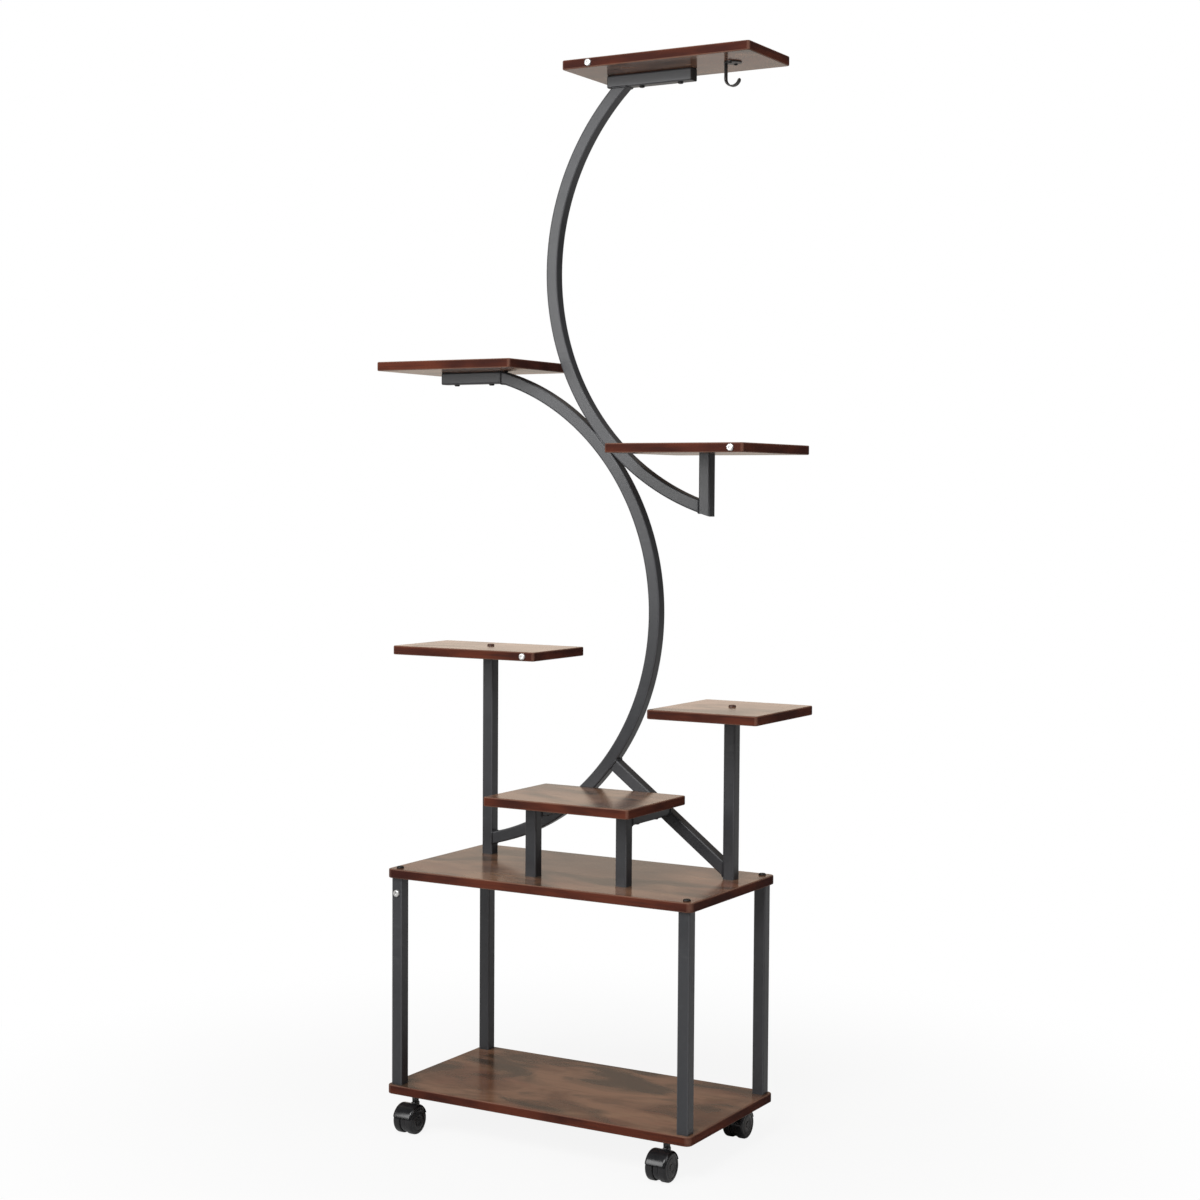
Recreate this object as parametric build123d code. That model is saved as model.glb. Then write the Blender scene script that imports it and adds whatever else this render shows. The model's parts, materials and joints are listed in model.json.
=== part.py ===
from build123d import *
import os
from math import cos, radians, sin, sqrt, tan

# Rolling plant stand: a two-board cart on swivel casters carries a welded frame of two
# bent square tubes, and six boards for pots sit on the frame at different heights.
# Millimetres, +Z up. X runs along the cart, the front faces -Y. Pieces are built with the
# middle of the cart at x = y = 0 and the floor at z = 0, then moved as one so that the
# origin lies on the floor under the middle of the whole footprint.

os.makedirs("parts", exist_ok=True)

# Steel tube
TUBE = 20.0
TUBE_WALL = 1.5
TUBE_CORNER = 2.5
TUBE_INNER_CORNER = 1.0

# Boards
BOARD = 15.0
DECK_CORNER = 10.0
SHELF_CORNER = 5.0
BOARD_EASE = 2.0
DECK_LENGTH = 560.0
DECK_DEPTH = 290.0
TOP_SHELF_LENGTH = 332.0
TOP_SHELF_DEPTH = 146.0
LEFT_MIDDLE_SHELF_LENGTH = 264.0
LEFT_MIDDLE_SHELF_DEPTH = 190.0
RIGHT_MIDDLE_SHELF_LENGTH = 242.0
RIGHT_MIDDLE_SHELF_DEPTH = 241.0
LOWER_LEFT_SHELF_LENGTH = 280.0
LOWER_LEFT_SHELF_DEPTH = 162.0
LOWER_RIGHT_SHELF_LENGTH = 192.0
LOWER_RIGHT_SHELF_DEPTH = 205.0
CENTRE_SHELF_LENGTH = 265.0
CENTRE_SHELF_DEPTH = 190.0

# Where the boards sit against what carries them
SHELF_FORWARD = 12.0
TOP_SHELF_SHIFT = 49.0
LEFT_MIDDLE_SHELF_SHIFT = 6.0
RIGHT_MIDDLE_SHELF_SHIFT = 8.0
LOWER_LEFT_SHELF_SHIFT = 3.0
LOWER_RIGHT_SHELF_SHIFT = 3.0
CENTRE_SHELF_SHIFT = -11.0

# Cart
CASTER_HEIGHT = 58.0
LEG_LENGTH = 340.0
LEG_EDGE_GAP = 6.0
CASTER_INSET = 47.0

# Frame of bent tubes
FRAME_BACK_INSET = 75.0
LEFT_POST_INSET = 60.0
RIGHT_POST_INSET = 43.0
LEFT_POST_LENGTH = 338.0
RIGHT_POST_LENGTH = 260.0
LOWER_ARC_RADIUS = 400.0
LOWER_ARC_OFFSET = 81.0
LOWER_ARC_FOOT_HEIGHT = 28.0
LOWER_ARC_TOP_ANGLE = 74.8
UPPER_ARC_RADIUS = 400.0
UPPER_ARC_TOP_ANGLE = 133.3
ARC_TRIM_ANGLE = 4.0
ARC_TOUCH_ANGLE = 42.6
ARC_SEAT = 0.6
STUB_OFFSET = 114.0
STUB_RISE = 86.0
LEFT_BRACKET_LENGTH = 118.0
TOP_BRACKET_LENGTH = 150.0
TOP_BRACKET_OVERHANG = 6.0
BRACE_ANGLE = 37.0
BRACE_FOOT_HEIGHT = 17.0

# Low stool that carries the centre shelf
STOOL_HEIGHT = 114.0
STOOL_LEG_INSET = 57.0
STOOL_LEFT_SHIFT = 9.0
STOOL_RIGHT_SHIFT = 11.0

# Heads of all screws: rounding and recess as parts of the head's height
HEAD_ROUNDING = 0.6
HEAD_RECESS = 0.6

# Machine screws that hold tube ends to boards
SCREW_RADIUS = 3.0
SCREW_HEAD_RADIUS = 6.0
SCREW_HEAD_HEIGHT = 3.0
SCREW_SOCKET = 2.0
SCREW_GRIP = 7.0
NUT_THICKNESS = 8.0

# Wood screws that come up through the horizontal tubes
WOOD_SCREW_RADIUS = 2.0
WOOD_SCREW_HEAD_RADIUS = 4.5
WOOD_SCREW_HEAD_HEIGHT = 2.6
WOOD_SCREW_BITE = 11.0
WOOD_SCREW_SPACING = 70.0

# Bright screws in the front edges of three boards and in one leg
BRIGHT_SCREW_RADIUS = 2.5
BRIGHT_SCREW_HEAD_RADIUS = 5.8
BRIGHT_SCREW_HEAD_HEIGHT = 3.6
BRIGHT_SCREW_SOCKET = 2.6
BRIGHT_SCREW_BITE = 22.0
TOP_EDGE_SCREW_INSET = 49.0
SIDE_EDGE_SCREW_INSET = 21.0
LEG_SCREW_DROP = 25.0
LEG_SCREW_BITE = 12.0

# End caps of the open brackets
CAP_THICKNESS = 1.6
CAP_PLUG = 8.0

# Hook under the top shelf
HOOK_INSET = 64.0
HOOK_PLATE_RADIUS = 14.0
HOOK_PLATE_THICKNESS = 2.0
HOOK_STRIP_WIDTH = 9.0
HOOK_STRIP = 2.4
HOOK_BEND_RADIUS = 12.0
HOOK_BEND_ANGLE = 175.0
HOOK_ARM = 24.8
HOOK_SCREW_SPACING = 20.0
HOOK_SCREW_RADIUS = 1.5
HOOK_SCREW_HEAD_RADIUS = 2.8
HOOK_SCREW_HEAD_HEIGHT = 1.4
HOOK_SCREW_BITE = 10.0

# Casters
WHEEL_RADIUS = 23.0
WHEEL_WIDTH = 13.3
WHEEL_SHOULDER = 4.5
WHEEL_INNER_SHOULDER = 2.0
WHEEL_RIM = 3.5
WHEEL_FACE = 3.0
WHEEL_HUB_RADIUS = 5.0
CASTER_TRAIL = 16.0
WEB_WIDTH = 8.6
WEB_RADIUS = 21.0
HOOD_WALL = 1.6
HOOD_LIP_ABOVE_AXLE = 7.0
COLUMN_DEPTH = 13.0
COLUMN_TOP_ABOVE_WHEEL = 1.6
AXLE_RADIUS = 2.5
AXLE_END_GAP = 0.4
PIVOT_RADIUS = 2.6
PIVOT_DEPTH = 20.0
COLLAR_RADIUS = 5.4
STEM_RADIUS = 4.0
STEM_LENGTH = 11.0
INSERT_RADIUS = 6.0
INSERT_LENGTH = 12.0

# Clearances
SCREW_HOLE_CLEARANCE = 0.3
FIT_CLEARANCE = 0.03
PLUG_CLEARANCE = 0.1
RUNNING_CLEARANCE = 0.05
WHEEL_SIDE_GAP = 0.5
HOOD_GAP = 0.6
COLLAR_GAP = 0.3

# Larger than the whole stand, for cutting tools
BIG = 6.0 * DECK_LENGTH

# Heights that follow from the cart
lower_deck_bottom = CASTER_HEIGHT
lower_deck_top = lower_deck_bottom + BOARD
upper_deck_bottom = lower_deck_top + LEG_LENGTH
deck_top = upper_deck_bottom + BOARD

# Legs, posts and casters in plan
leg_x = DECK_LENGTH / 2 - LEG_EDGE_GAP - TUBE / 2
leg_y = DECK_DEPTH / 2 - LEG_EDGE_GAP - TUBE / 2
caster_x = DECK_LENGTH / 2 - CASTER_INSET
caster_y = leg_y
frame_y = DECK_DEPTH / 2 - FRAME_BACK_INSET
frame_front = frame_y - TUBE / 2
left_post_x = -DECK_LENGTH / 2 + LEFT_POST_INSET
right_post_x = DECK_LENGTH / 2 - RIGHT_POST_INSET
left_post_top = deck_top + LEFT_POST_LENGTH
right_post_top = deck_top + RIGHT_POST_LENGTH

# Lower arc: its foot meets the right face of the left post
lower_arc_x = left_post_x - LOWER_ARC_OFFSET
foot_reach = left_post_x + TUBE / 2 - lower_arc_x
lower_arc_z = deck_top + LOWER_ARC_FOOT_HEIGHT + sqrt(LOWER_ARC_RADIUS**2 - foot_reach**2)
lower_arc_outer = LOWER_ARC_RADIUS + TUBE / 2

# Upper arc: bent the other way and welded to the lower arc's outside
arc_distance = LOWER_ARC_RADIUS + UPPER_ARC_RADIUS + TUBE - ARC_SEAT
upper_arc_x = lower_arc_x + arc_distance * cos(radians(ARC_TOUCH_ANGLE))
upper_arc_z = lower_arc_z + arc_distance * sin(radians(ARC_TOUCH_ANGLE))
upper_arc_outer = UPPER_ARC_RADIUS + TUBE / 2
upper_arc_inner = UPPER_ARC_RADIUS - TUBE / 2

# Left bracket: level tube that carries on from the lower arc's top end
left_bracket_right = lower_arc_x + LOWER_ARC_RADIUS * cos(radians(LOWER_ARC_TOP_ANGLE))
left_bracket_left = left_bracket_right - LEFT_BRACKET_LENGTH
left_bracket_z = lower_arc_z + LOWER_ARC_RADIUS * sin(radians(LOWER_ARC_TOP_ANGLE))
left_bracket_middle = (left_bracket_left + left_bracket_right) / 2
left_middle_bottom = left_bracket_z + TUBE / 2

# Top bracket: level tube that rests on the upper arc's cut top end
top_bracket_bottom = upper_arc_z + UPPER_ARC_RADIUS * sin(radians(UPPER_ARC_TOP_ANGLE))
top_rise = top_bracket_bottom - upper_arc_z
top_bracket_left = upper_arc_x - sqrt(upper_arc_outer**2 - top_rise**2) - TOP_BRACKET_OVERHANG
top_bracket_right = top_bracket_left + TOP_BRACKET_LENGTH
top_bracket_middle = (top_bracket_left + top_bracket_right) / 2
top_bracket_z = top_bracket_bottom + TUBE / 2
top_shelf_bottom = top_bracket_bottom + TUBE
arc_inner_at_top = upper_arc_x - sqrt(upper_arc_inner**2 - top_rise**2)
top_screws_x = (arc_inner_at_top + top_bracket_right) / 2

# Stub: short upright on the upper arc's lower end
stub_x = upper_arc_x - STUB_OFFSET
stub_arc_z = upper_arc_z - sqrt(UPPER_ARC_RADIUS**2 - STUB_OFFSET**2)
right_middle_bottom = stub_arc_z + STUB_RISE

# Brace: straight tube from the right post's foot up to the lower arc
brace_foot_x = right_post_x - TUBE / 2
brace_foot_z = deck_top + BRACE_FOOT_HEIGHT
brace_run = brace_foot_x - lower_arc_x
brace_drop = brace_foot_z - lower_arc_z
brace_along = -brace_run * cos(radians(BRACE_ANGLE)) + brace_drop * sin(radians(BRACE_ANGLE))
brace_short = brace_along**2 - (brace_run**2 + brace_drop**2 - lower_arc_outer**2)
brace_length = -brace_along - sqrt(brace_short)

# Stool: each bar runs back from its leg to the frame tube behind it
centre_shelf_bottom = deck_top + STOOL_HEIGHT
bar_z = centre_shelf_bottom - TUBE / 2
bar_below_arc = lower_arc_z - bar_z
stool_left_x = lower_arc_x + sqrt(LOWER_ARC_RADIUS**2 - bar_below_arc**2) + STOOL_LEFT_SHIFT
brace_x_at_bar = brace_foot_x - (bar_z - brace_foot_z) / tan(radians(BRACE_ANGLE))
stool_right_x = brace_x_at_bar + STOOL_RIGHT_SHIFT
centre_shelf_front = frame_front - CENTRE_SHELF_DEPTH
stool_leg_y = centre_shelf_front + STOOL_LEG_INSET
bar_front = stool_leg_y + TUBE / 2
bar_length = frame_front - bar_front
bar_screw_ys = [bar_front + bar_length / 4, bar_front + 3 * bar_length / 4]

# Middles of the boards in plan
shelf_y = frame_y - SHELF_FORWARD
top_shelf_x = top_bracket_middle + TOP_SHELF_SHIFT
left_middle_x = left_bracket_middle + LEFT_MIDDLE_SHELF_SHIFT
right_middle_x = stub_x + RIGHT_MIDDLE_SHELF_SHIFT
lower_left_x = left_post_x + LOWER_LEFT_SHELF_SHIFT
lower_right_x = right_post_x + LOWER_RIGHT_SHELF_SHIFT
centre_shelf_x = (stool_left_x + stool_right_x) / 2 + CENTRE_SHELF_SHIFT
centre_shelf_y = frame_front - CENTRE_SHELF_DEPTH / 2
hook_x = top_shelf_x + TOP_SHELF_LENGTH / 2 - HOOK_INSET

# Heights of a caster above the floor
axle_z = WHEEL_RADIUS
hood_outer = WHEEL_RADIUS + HOOD_GAP + HOOD_WALL
column_top = 2 * WHEEL_RADIUS + COLUMN_TOP_ABOVE_WHEEL
caster_half_width = WEB_WIDTH / 2 + WHEEL_SIDE_GAP + WHEEL_WIDTH

# Footprint of the whole stand, for the origin
left_edges = [
    -DECK_LENGTH / 2,
    left_middle_x - LEFT_MIDDLE_SHELF_LENGTH / 2,
    lower_left_x - LOWER_LEFT_SHELF_LENGTH / 2,
]
right_edges = [
    DECK_LENGTH / 2,
    lower_right_x + LOWER_RIGHT_SHELF_LENGTH / 2,
    right_middle_x + RIGHT_MIDDLE_SHELF_LENGTH / 2,
    top_shelf_x + TOP_SHELF_LENGTH / 2,
]
front_edges = [
    -DECK_DEPTH / 2,
    -caster_y - CASTER_TRAIL - hood_outer,
    centre_shelf_front,
    shelf_y - RIGHT_MIDDLE_SHELF_DEPTH / 2,
]
back_edges = [
    DECK_DEPTH / 2,
    shelf_y + RIGHT_MIDDLE_SHELF_DEPTH / 2,
    shelf_y + LOWER_RIGHT_SHELF_DEPTH / 2,
]
middle_x = (min(left_edges) + max(right_edges)) / 2
middle_y = (min(front_edges) + max(back_edges)) / 2


# Helpers

def save(name, *solids):
    """Write one node, moved so that the origin is under the middle of the footprint."""
    placed = [Pos(-middle_x, -middle_y, 0) * solid for solid in solids]
    shape = placed[0] if len(placed) == 1 else Compound(children=placed)
    export_step(shape, f"parts/{name}.step")


def beyond(x=None, z=None):
    """Block that fills all space right of x, or above z."""
    if z is None:
        return Pos(x + BIG / 2, 0, 0) * Box(BIG, BIG, BIG)
    return Pos(0, 0, z + BIG / 2) * Box(BIG, BIG, BIG)


def tube_section():
    """Square tube's section, centred."""
    inner = TUBE - 2 * TUBE_WALL
    outline = RectangleRounded(TUBE, TUBE, TUBE_CORNER)
    return outline - RectangleRounded(inner, inner, TUBE_INNER_CORNER)


def upright_tube(x, y, bottom, length):
    """Square tube standing on a level."""
    return Pos(x, y, bottom) * extrude(tube_section(), length)


def level_tube(left, length, y, z):
    """Square tube lying along X."""
    return Pos(left, y, z) * Rot(0, 90, 0) * extrude(tube_section(), length)


def bent_tube(x, z, radius, start, stop):
    """Square tube bent round (x, z) in the frame's plane, between two angles from +X up."""
    ring = revolve(Pos(radius, 0, 0) * tube_section(), Axis.Y, stop - start)
    return Pos(x, frame_y, z) * Rot(0, -stop, 0) * ring


def board(length, depth, corner, x, y, bottom):
    """Board with rounded corners and eased edges, its underside on a level."""
    slab = extrude(RectangleRounded(length, depth, corner), BOARD)
    slab = fillet(slab.faces().filter_by(Axis.Z).edges(), BOARD_EASE)
    return Pos(x, y, bottom) * slab


def upright_hole(x, y, bottom, radius, depth):
    """Round cutter standing on a level."""
    return Pos(x, y, bottom + depth / 2) * Cylinder(radius, depth)


def screw(radius, length, head_radius, head_height, socket):
    """Screw with a domed head above z = 0 and its shank below."""
    head = Pos(0, 0, head_height / 2) * Cylinder(head_radius, head_height)
    rim = head.edges().filter_by(GeomType.CIRCLE).sort_by(Axis.Z)[-1]
    head = fillet(rim, HEAD_ROUNDING * head_height)
    shank = Pos(0, 0, -length / 2) * Cylinder(radius, length)
    depth = HEAD_RECESS * head_height
    recess = Pos(0, 0, head_height - depth) * extrude(RegularPolygon(socket, 6), depth)
    return head + shank - recess


def tube_screw(length):
    """Machine screw for a tube's end."""
    return screw(SCREW_RADIUS, length, SCREW_HEAD_RADIUS, SCREW_HEAD_HEIGHT, SCREW_SOCKET)


def wood_screw(length):
    """Small pan-head screw."""
    return screw(WOOD_SCREW_RADIUS, length, WOOD_SCREW_HEAD_RADIUS, WOOD_SCREW_HEAD_HEIGHT, WOOD_SCREW_RADIUS)


def front_screw(x, front, z, length):
    """Bright round-head screw driven into a face that looks forward."""
    fastener = screw(
        BRIGHT_SCREW_RADIUS,
        length,
        BRIGHT_SCREW_HEAD_RADIUS,
        BRIGHT_SCREW_HEAD_HEIGHT,
        BRIGHT_SCREW_SOCKET,
    )
    return Pos(x, front, z) * Rot(90, 0, 0) * fastener


def end_nut(x, y, bottom):
    """Threaded square plug inside a tube's end."""
    side = TUBE - 2 * TUBE_WALL - 2 * PLUG_CLEARANCE
    plug = extrude(RectangleRounded(side, side, TUBE_INNER_CORNER), NUT_THICKNESS)
    bore = Pos(0, 0, NUT_THICKNESS / 2) * Cylinder(SCREW_RADIUS + FIT_CLEARANCE, NUT_THICKNESS)
    return Pos(x, y, bottom) * (plug - bore)


def corners(x, y):
    """The four corners of a rectangle, front left first."""
    return [(-x, -y), (x, -y), (-x, y), (x, y)]


# Cart

def deck_screw_holes(points, bottom):
    """Clearance holes for machine screws through a deck."""
    radius = SCREW_RADIUS + SCREW_HOLE_CLEARANCE
    return [upright_hole(x, y, bottom, radius, BOARD) for x, y in points]


def make_lower_deck():
    deck = board(DECK_LENGTH, DECK_DEPTH, DECK_CORNER, 0, 0, lower_deck_bottom)
    for hole in deck_screw_holes(corners(leg_x, leg_y), lower_deck_bottom):
        deck -= hole
    for x, y in corners(caster_x, caster_y):
        deck -= upright_hole(x, y, lower_deck_bottom, INSERT_RADIUS + FIT_CLEARANCE, INSERT_LENGTH)
    save("lower_deck_board", deck)


def make_upper_deck():
    feet = [
        (left_post_x, frame_y),
        (right_post_x, frame_y),
        (stool_left_x, stool_leg_y),
        (stool_right_x, stool_leg_y),
    ]
    deck = board(DECK_LENGTH, DECK_DEPTH, DECK_CORNER, 0, 0, upper_deck_bottom)
    for hole in deck_screw_holes(corners(leg_x, leg_y) + feet, upper_deck_bottom):
        deck -= hole
    save("upper_deck_board", deck)


def make_legs():
    names = ["front_left_leg", "front_right_leg", "rear_left_leg", "rear_right_leg"]
    for name, (x, y) in zip(names, corners(leg_x, leg_y)):
        leg = upright_tube(x, y, lower_deck_top, LEG_LENGTH)
        if name == "front_left_leg":
            leg -= leg_side_screw_hole()
        save(name, leg)
    nuts = []
    top_screws = []
    base_screws = []
    length = BOARD + SCREW_GRIP
    for x, y in corners(leg_x, leg_y):
        nuts.append(end_nut(x, y, lower_deck_top))
        nuts.append(end_nut(x, y, upper_deck_bottom - NUT_THICKNESS))
        top_screws.append(Pos(x, y, deck_top) * tube_screw(length))
        base_screws.append(Pos(x, y, lower_deck_bottom) * Rot(180, 0, 0) * tube_screw(length))
    save("leg_end_nuts", *nuts)
    save("leg_top_screws", *top_screws)
    save("leg_base_screws", *base_screws)


# Frame

def make_posts():
    save("left_post", upright_tube(left_post_x, frame_y, deck_top, LEFT_POST_LENGTH))
    save("right_post", upright_tube(right_post_x, frame_y, deck_top, RIGHT_POST_LENGTH))
    feet = [
        (left_post_x, frame_y),
        (right_post_x, frame_y),
        (stool_left_x, stool_leg_y),
        (stool_right_x, stool_leg_y),
    ]
    heads = [
        (left_post_x, left_post_top),
        (right_post_x, right_post_top),
        (stub_x, right_middle_bottom),
    ]
    length = BOARD + SCREW_GRIP
    nuts = [end_nut(x, y, deck_top) for x, y in feet]
    nuts += [end_nut(x, frame_y, z - NUT_THICKNESS) for x, z in heads]
    save("post_end_nuts", *nuts)
    turned = Rot(180, 0, 0) * tube_screw(length)
    save("post_base_screws", *[Pos(x, y, upper_deck_bottom) * turned for x, y in feet])
    save("shelf_centre_screws", *[Pos(x, frame_y, z + BOARD) * tube_screw(length) for x, z in heads])


def make_lower_arc():
    stop = LOWER_ARC_TOP_ANGLE + ARC_TRIM_ANGLE
    arc = bent_tube(lower_arc_x, lower_arc_z, LOWER_ARC_RADIUS, -90, stop)
    arc &= beyond(x=left_post_x + TUBE / 2)
    above_middle = Pos(left_bracket_right - BIG / 2, frame_y, lower_arc_z + BIG / 2) * Box(BIG, BIG, BIG)
    arc -= above_middle
    arc -= beyond(z=left_middle_bottom)
    save("lower_arc", arc)


def make_upper_arc():
    start = UPPER_ARC_TOP_ANGLE - ARC_TRIM_ANGLE
    arc = bent_tube(upper_arc_x, upper_arc_z, UPPER_ARC_RADIUS, start, 270)
    arc -= beyond(z=top_bracket_bottom)
    stub_left = stub_x - TUBE / 2
    arc -= Pos(stub_left + BIG / 2, frame_y, upper_arc_z - BIG / 2) * Box(BIG, BIG, BIG)
    seat = Pos(lower_arc_x, frame_y, lower_arc_z) * Rot(90, 0, 0) * Cylinder(lower_arc_outer, BIG)
    save("upper_arc", arc - seat)


def make_stub():
    bottom = stub_arc_z - TUBE
    stub = upright_tube(stub_x, frame_y, bottom, right_middle_bottom - bottom)
    sweep_line = Pos(upper_arc_x, frame_y, upper_arc_z) * Rot(90, 0, 0) * Cylinder(upper_arc_outer, BIG)
    save("shelf_stub", stub & sweep_line)


def make_brace():
    spare = TUBE
    tube = Pos(0, 0, -spare) * extrude(tube_section(), brace_length + 2 * spare)
    tube = Pos(brace_foot_x, frame_y, brace_foot_z) * Rot(0, BRACE_ANGLE - 90, 0) * tube
    tube -= beyond(x=brace_foot_x)
    arc_side = Pos(lower_arc_x, frame_y, lower_arc_z) * Rot(90, 0, 0) * Cylinder(lower_arc_outer, BIG)
    save("right_brace", tube - arc_side)


def bracket_cutters(xs, bottom):
    """Clearance holes through a level tube for the screws that pass up into the board."""
    return [upright_hole(x, frame_y, bottom, WOOD_SCREW_RADIUS + SCREW_HOLE_CLEARANCE, TUBE) for x in xs]


def pair_about(x):
    """Two screw places about a middle."""
    return [x - WOOD_SCREW_SPACING / 2, x + WOOD_SCREW_SPACING / 2]


def end_cap(x, z, turn):
    """Plastic cap in the end of a level tube, facing right or, turned, left."""
    side = TUBE - 2 * TUBE_WALL - 2 * PLUG_CLEARANCE
    face = extrude(RectangleRounded(TUBE, TUBE, TUBE_CORNER), CAP_THICKNESS)
    face = fillet(face.faces().sort_by(Axis.Z)[-1].edges(), CAP_THICKNESS / 2)
    plug = Pos(0, 0, -CAP_PLUG) * extrude(RectangleRounded(side, side, TUBE_INNER_CORNER), CAP_PLUG)
    return Pos(x, frame_y, z) * Rot(0, turn, 0) * (face + plug)


def make_brackets():
    left = level_tube(left_bracket_left, LEFT_BRACKET_LENGTH, frame_y, left_bracket_z)
    for hole in bracket_cutters(pair_about(left_bracket_middle), left_bracket_z - TUBE / 2):
        left -= hole
    save("left_bracket", left)
    top = level_tube(top_bracket_left, TOP_BRACKET_LENGTH, frame_y, top_bracket_z)
    for hole in bracket_cutters(pair_about(top_screws_x), top_bracket_bottom):
        top -= hole
    save("top_bracket", top)
    save(
        "bracket_end_caps",
        end_cap(left_bracket_left, left_bracket_z, -90),
        end_cap(top_bracket_left, top_bracket_z, -90),
        end_cap(top_bracket_right, top_bracket_z, 90),
    )
    turned = Rot(180, 0, 0) * wood_screw(TUBE + WOOD_SCREW_BITE)
    places = [(x, left_bracket_z - TUBE / 2) for x in pair_about(left_bracket_middle)]
    places += [(x, top_bracket_bottom) for x in pair_about(top_screws_x)]
    save("bracket_screws", *[Pos(x, frame_y, z) * turned for x, z in places])


# Stool

def make_stool():
    places = {"left": stool_left_x, "right": stool_right_x}
    turned = Rot(180, 0, 0) * wood_screw(TUBE + WOOD_SCREW_BITE)
    bar_bottom = bar_z - TUBE / 2
    radius = WOOD_SCREW_RADIUS + SCREW_HOLE_CLEARANCE
    screws = []
    for side, x in places.items():
        save(f"stool_{side}_leg", upright_tube(x, stool_leg_y, deck_top, STOOL_HEIGHT))
        bar = Pos(x, bar_front, bar_z) * Rot(-90, 0, 0) * extrude(tube_section(), bar_length)
        for y in bar_screw_ys:
            bar -= upright_hole(x, y, bar_bottom, radius, TUBE)
            screws.append(Pos(x, y, bar_bottom) * turned)
        save(f"stool_{side}_bar", bar)
    save("stool_screws", *screws)


# Boards for pots

def shelf_board(length, depth, x, y, bottom):
    """Board of one of the shelves."""
    return board(length, depth, SHELF_CORNER, x, y, bottom)


def pilot_hole(x, y, bottom):
    """Hole that a wood screw fills, up from a board's underside."""
    return upright_hole(x, y, bottom, WOOD_SCREW_RADIUS + FIT_CLEARANCE, WOOD_SCREW_BITE)


def edge_pilot(x, front, middle_z):
    """Hole that a bright screw fills, back from a board's front edge."""
    hole = Cylinder(BRIGHT_SCREW_RADIUS + FIT_CLEARANCE, BRIGHT_SCREW_BITE)
    return Pos(x, front + BRIGHT_SCREW_BITE / 2, middle_z) * Rot(90, 0, 0) * hole


def leg_side_screw_place():
    return (-leg_x, -leg_y - TUBE / 2, upper_deck_bottom - LEG_SCREW_DROP)


def leg_side_screw_hole():
    x, front, z = leg_side_screw_place()
    hole = Cylinder(BRIGHT_SCREW_RADIUS + FIT_CLEARANCE, 2 * TUBE_WALL)
    return Pos(x, front, z) * Rot(90, 0, 0) * hole


def make_top_shelf():
    shelf = shelf_board(TOP_SHELF_LENGTH, TOP_SHELF_DEPTH, top_shelf_x, shelf_y, top_shelf_bottom)
    for x in pair_about(top_screws_x):
        shelf -= pilot_hole(x, frame_y, top_shelf_bottom)
    for x, y in hook_screw_places():
        shelf -= upright_hole(x, y, top_shelf_bottom, HOOK_SCREW_RADIUS + FIT_CLEARANCE, HOOK_SCREW_BITE)
    x, front, z = edge_screw_places()[0]
    save("top_shelf", shelf - edge_pilot(x, front, z))


def make_left_middle_shelf():
    shelf = shelf_board(
        LEFT_MIDDLE_SHELF_LENGTH, LEFT_MIDDLE_SHELF_DEPTH, left_middle_x, shelf_y, left_middle_bottom
    )
    for x in pair_about(left_bracket_middle):
        shelf -= pilot_hole(x, frame_y, left_middle_bottom)
    save("left_middle_shelf", shelf)


def centre_hole(x, bottom):
    """Clearance hole above a post."""
    return upright_hole(x, frame_y, bottom, SCREW_RADIUS + SCREW_HOLE_CLEARANCE, BOARD)


def make_right_middle_shelf():
    shelf = shelf_board(
        RIGHT_MIDDLE_SHELF_LENGTH, RIGHT_MIDDLE_SHELF_DEPTH, right_middle_x, shelf_y, right_middle_bottom
    )
    x, front, z = edge_screw_places()[1]
    save("right_middle_shelf", shelf - centre_hole(stub_x, right_middle_bottom) - edge_pilot(x, front, z))


def make_lower_left_shelf():
    shelf = shelf_board(
        LOWER_LEFT_SHELF_LENGTH, LOWER_LEFT_SHELF_DEPTH, lower_left_x, shelf_y, left_post_top
    )
    x, front, z = edge_screw_places()[2]
    save("lower_left_shelf", shelf - centre_hole(left_post_x, left_post_top) - edge_pilot(x, front, z))


def make_lower_right_shelf():
    shelf = shelf_board(
        LOWER_RIGHT_SHELF_LENGTH, LOWER_RIGHT_SHELF_DEPTH, lower_right_x, shelf_y, right_post_top
    )
    save("lower_right_shelf", shelf - centre_hole(right_post_x, right_post_top))


def make_centre_shelf():
    shelf = shelf_board(
        CENTRE_SHELF_LENGTH, CENTRE_SHELF_DEPTH, centre_shelf_x, centre_shelf_y, centre_shelf_bottom
    )
    for x in (stool_left_x, stool_right_x):
        for y in bar_screw_ys:
            shelf -= pilot_hole(x, y, centre_shelf_bottom)
    save("centre_shelf", shelf)


def edge_screw_places():
    """Top, right middle and lower left boards: x, front face and height of the edge screw."""
    top_x = top_shelf_x - TOP_SHELF_LENGTH / 2 + TOP_EDGE_SCREW_INSET
    right_x = right_middle_x + RIGHT_MIDDLE_SHELF_LENGTH / 2 - SIDE_EDGE_SCREW_INSET
    left_x = lower_left_x + LOWER_LEFT_SHELF_LENGTH / 2 - SIDE_EDGE_SCREW_INSET
    half = BOARD / 2
    return [
        (top_x, shelf_y - TOP_SHELF_DEPTH / 2, top_shelf_bottom + half),
        (right_x, shelf_y - RIGHT_MIDDLE_SHELF_DEPTH / 2, right_middle_bottom + half),
        (left_x, shelf_y - LOWER_LEFT_SHELF_DEPTH / 2, left_post_top + half),
    ]


def make_bright_screws():
    save("edge_screws", *[front_screw(*place, BRIGHT_SCREW_BITE) for place in edge_screw_places()])
    save("leg_side_screw", front_screw(*leg_side_screw_place(), LEG_SCREW_BITE))


# Hook

def hook_screw_places():
    """Two screws on the plate, one before and one behind the arm."""
    return [(hook_x, shelf_y - HOOK_SCREW_SPACING / 2), (hook_x, shelf_y + HOOK_SCREW_SPACING / 2)]


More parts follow.
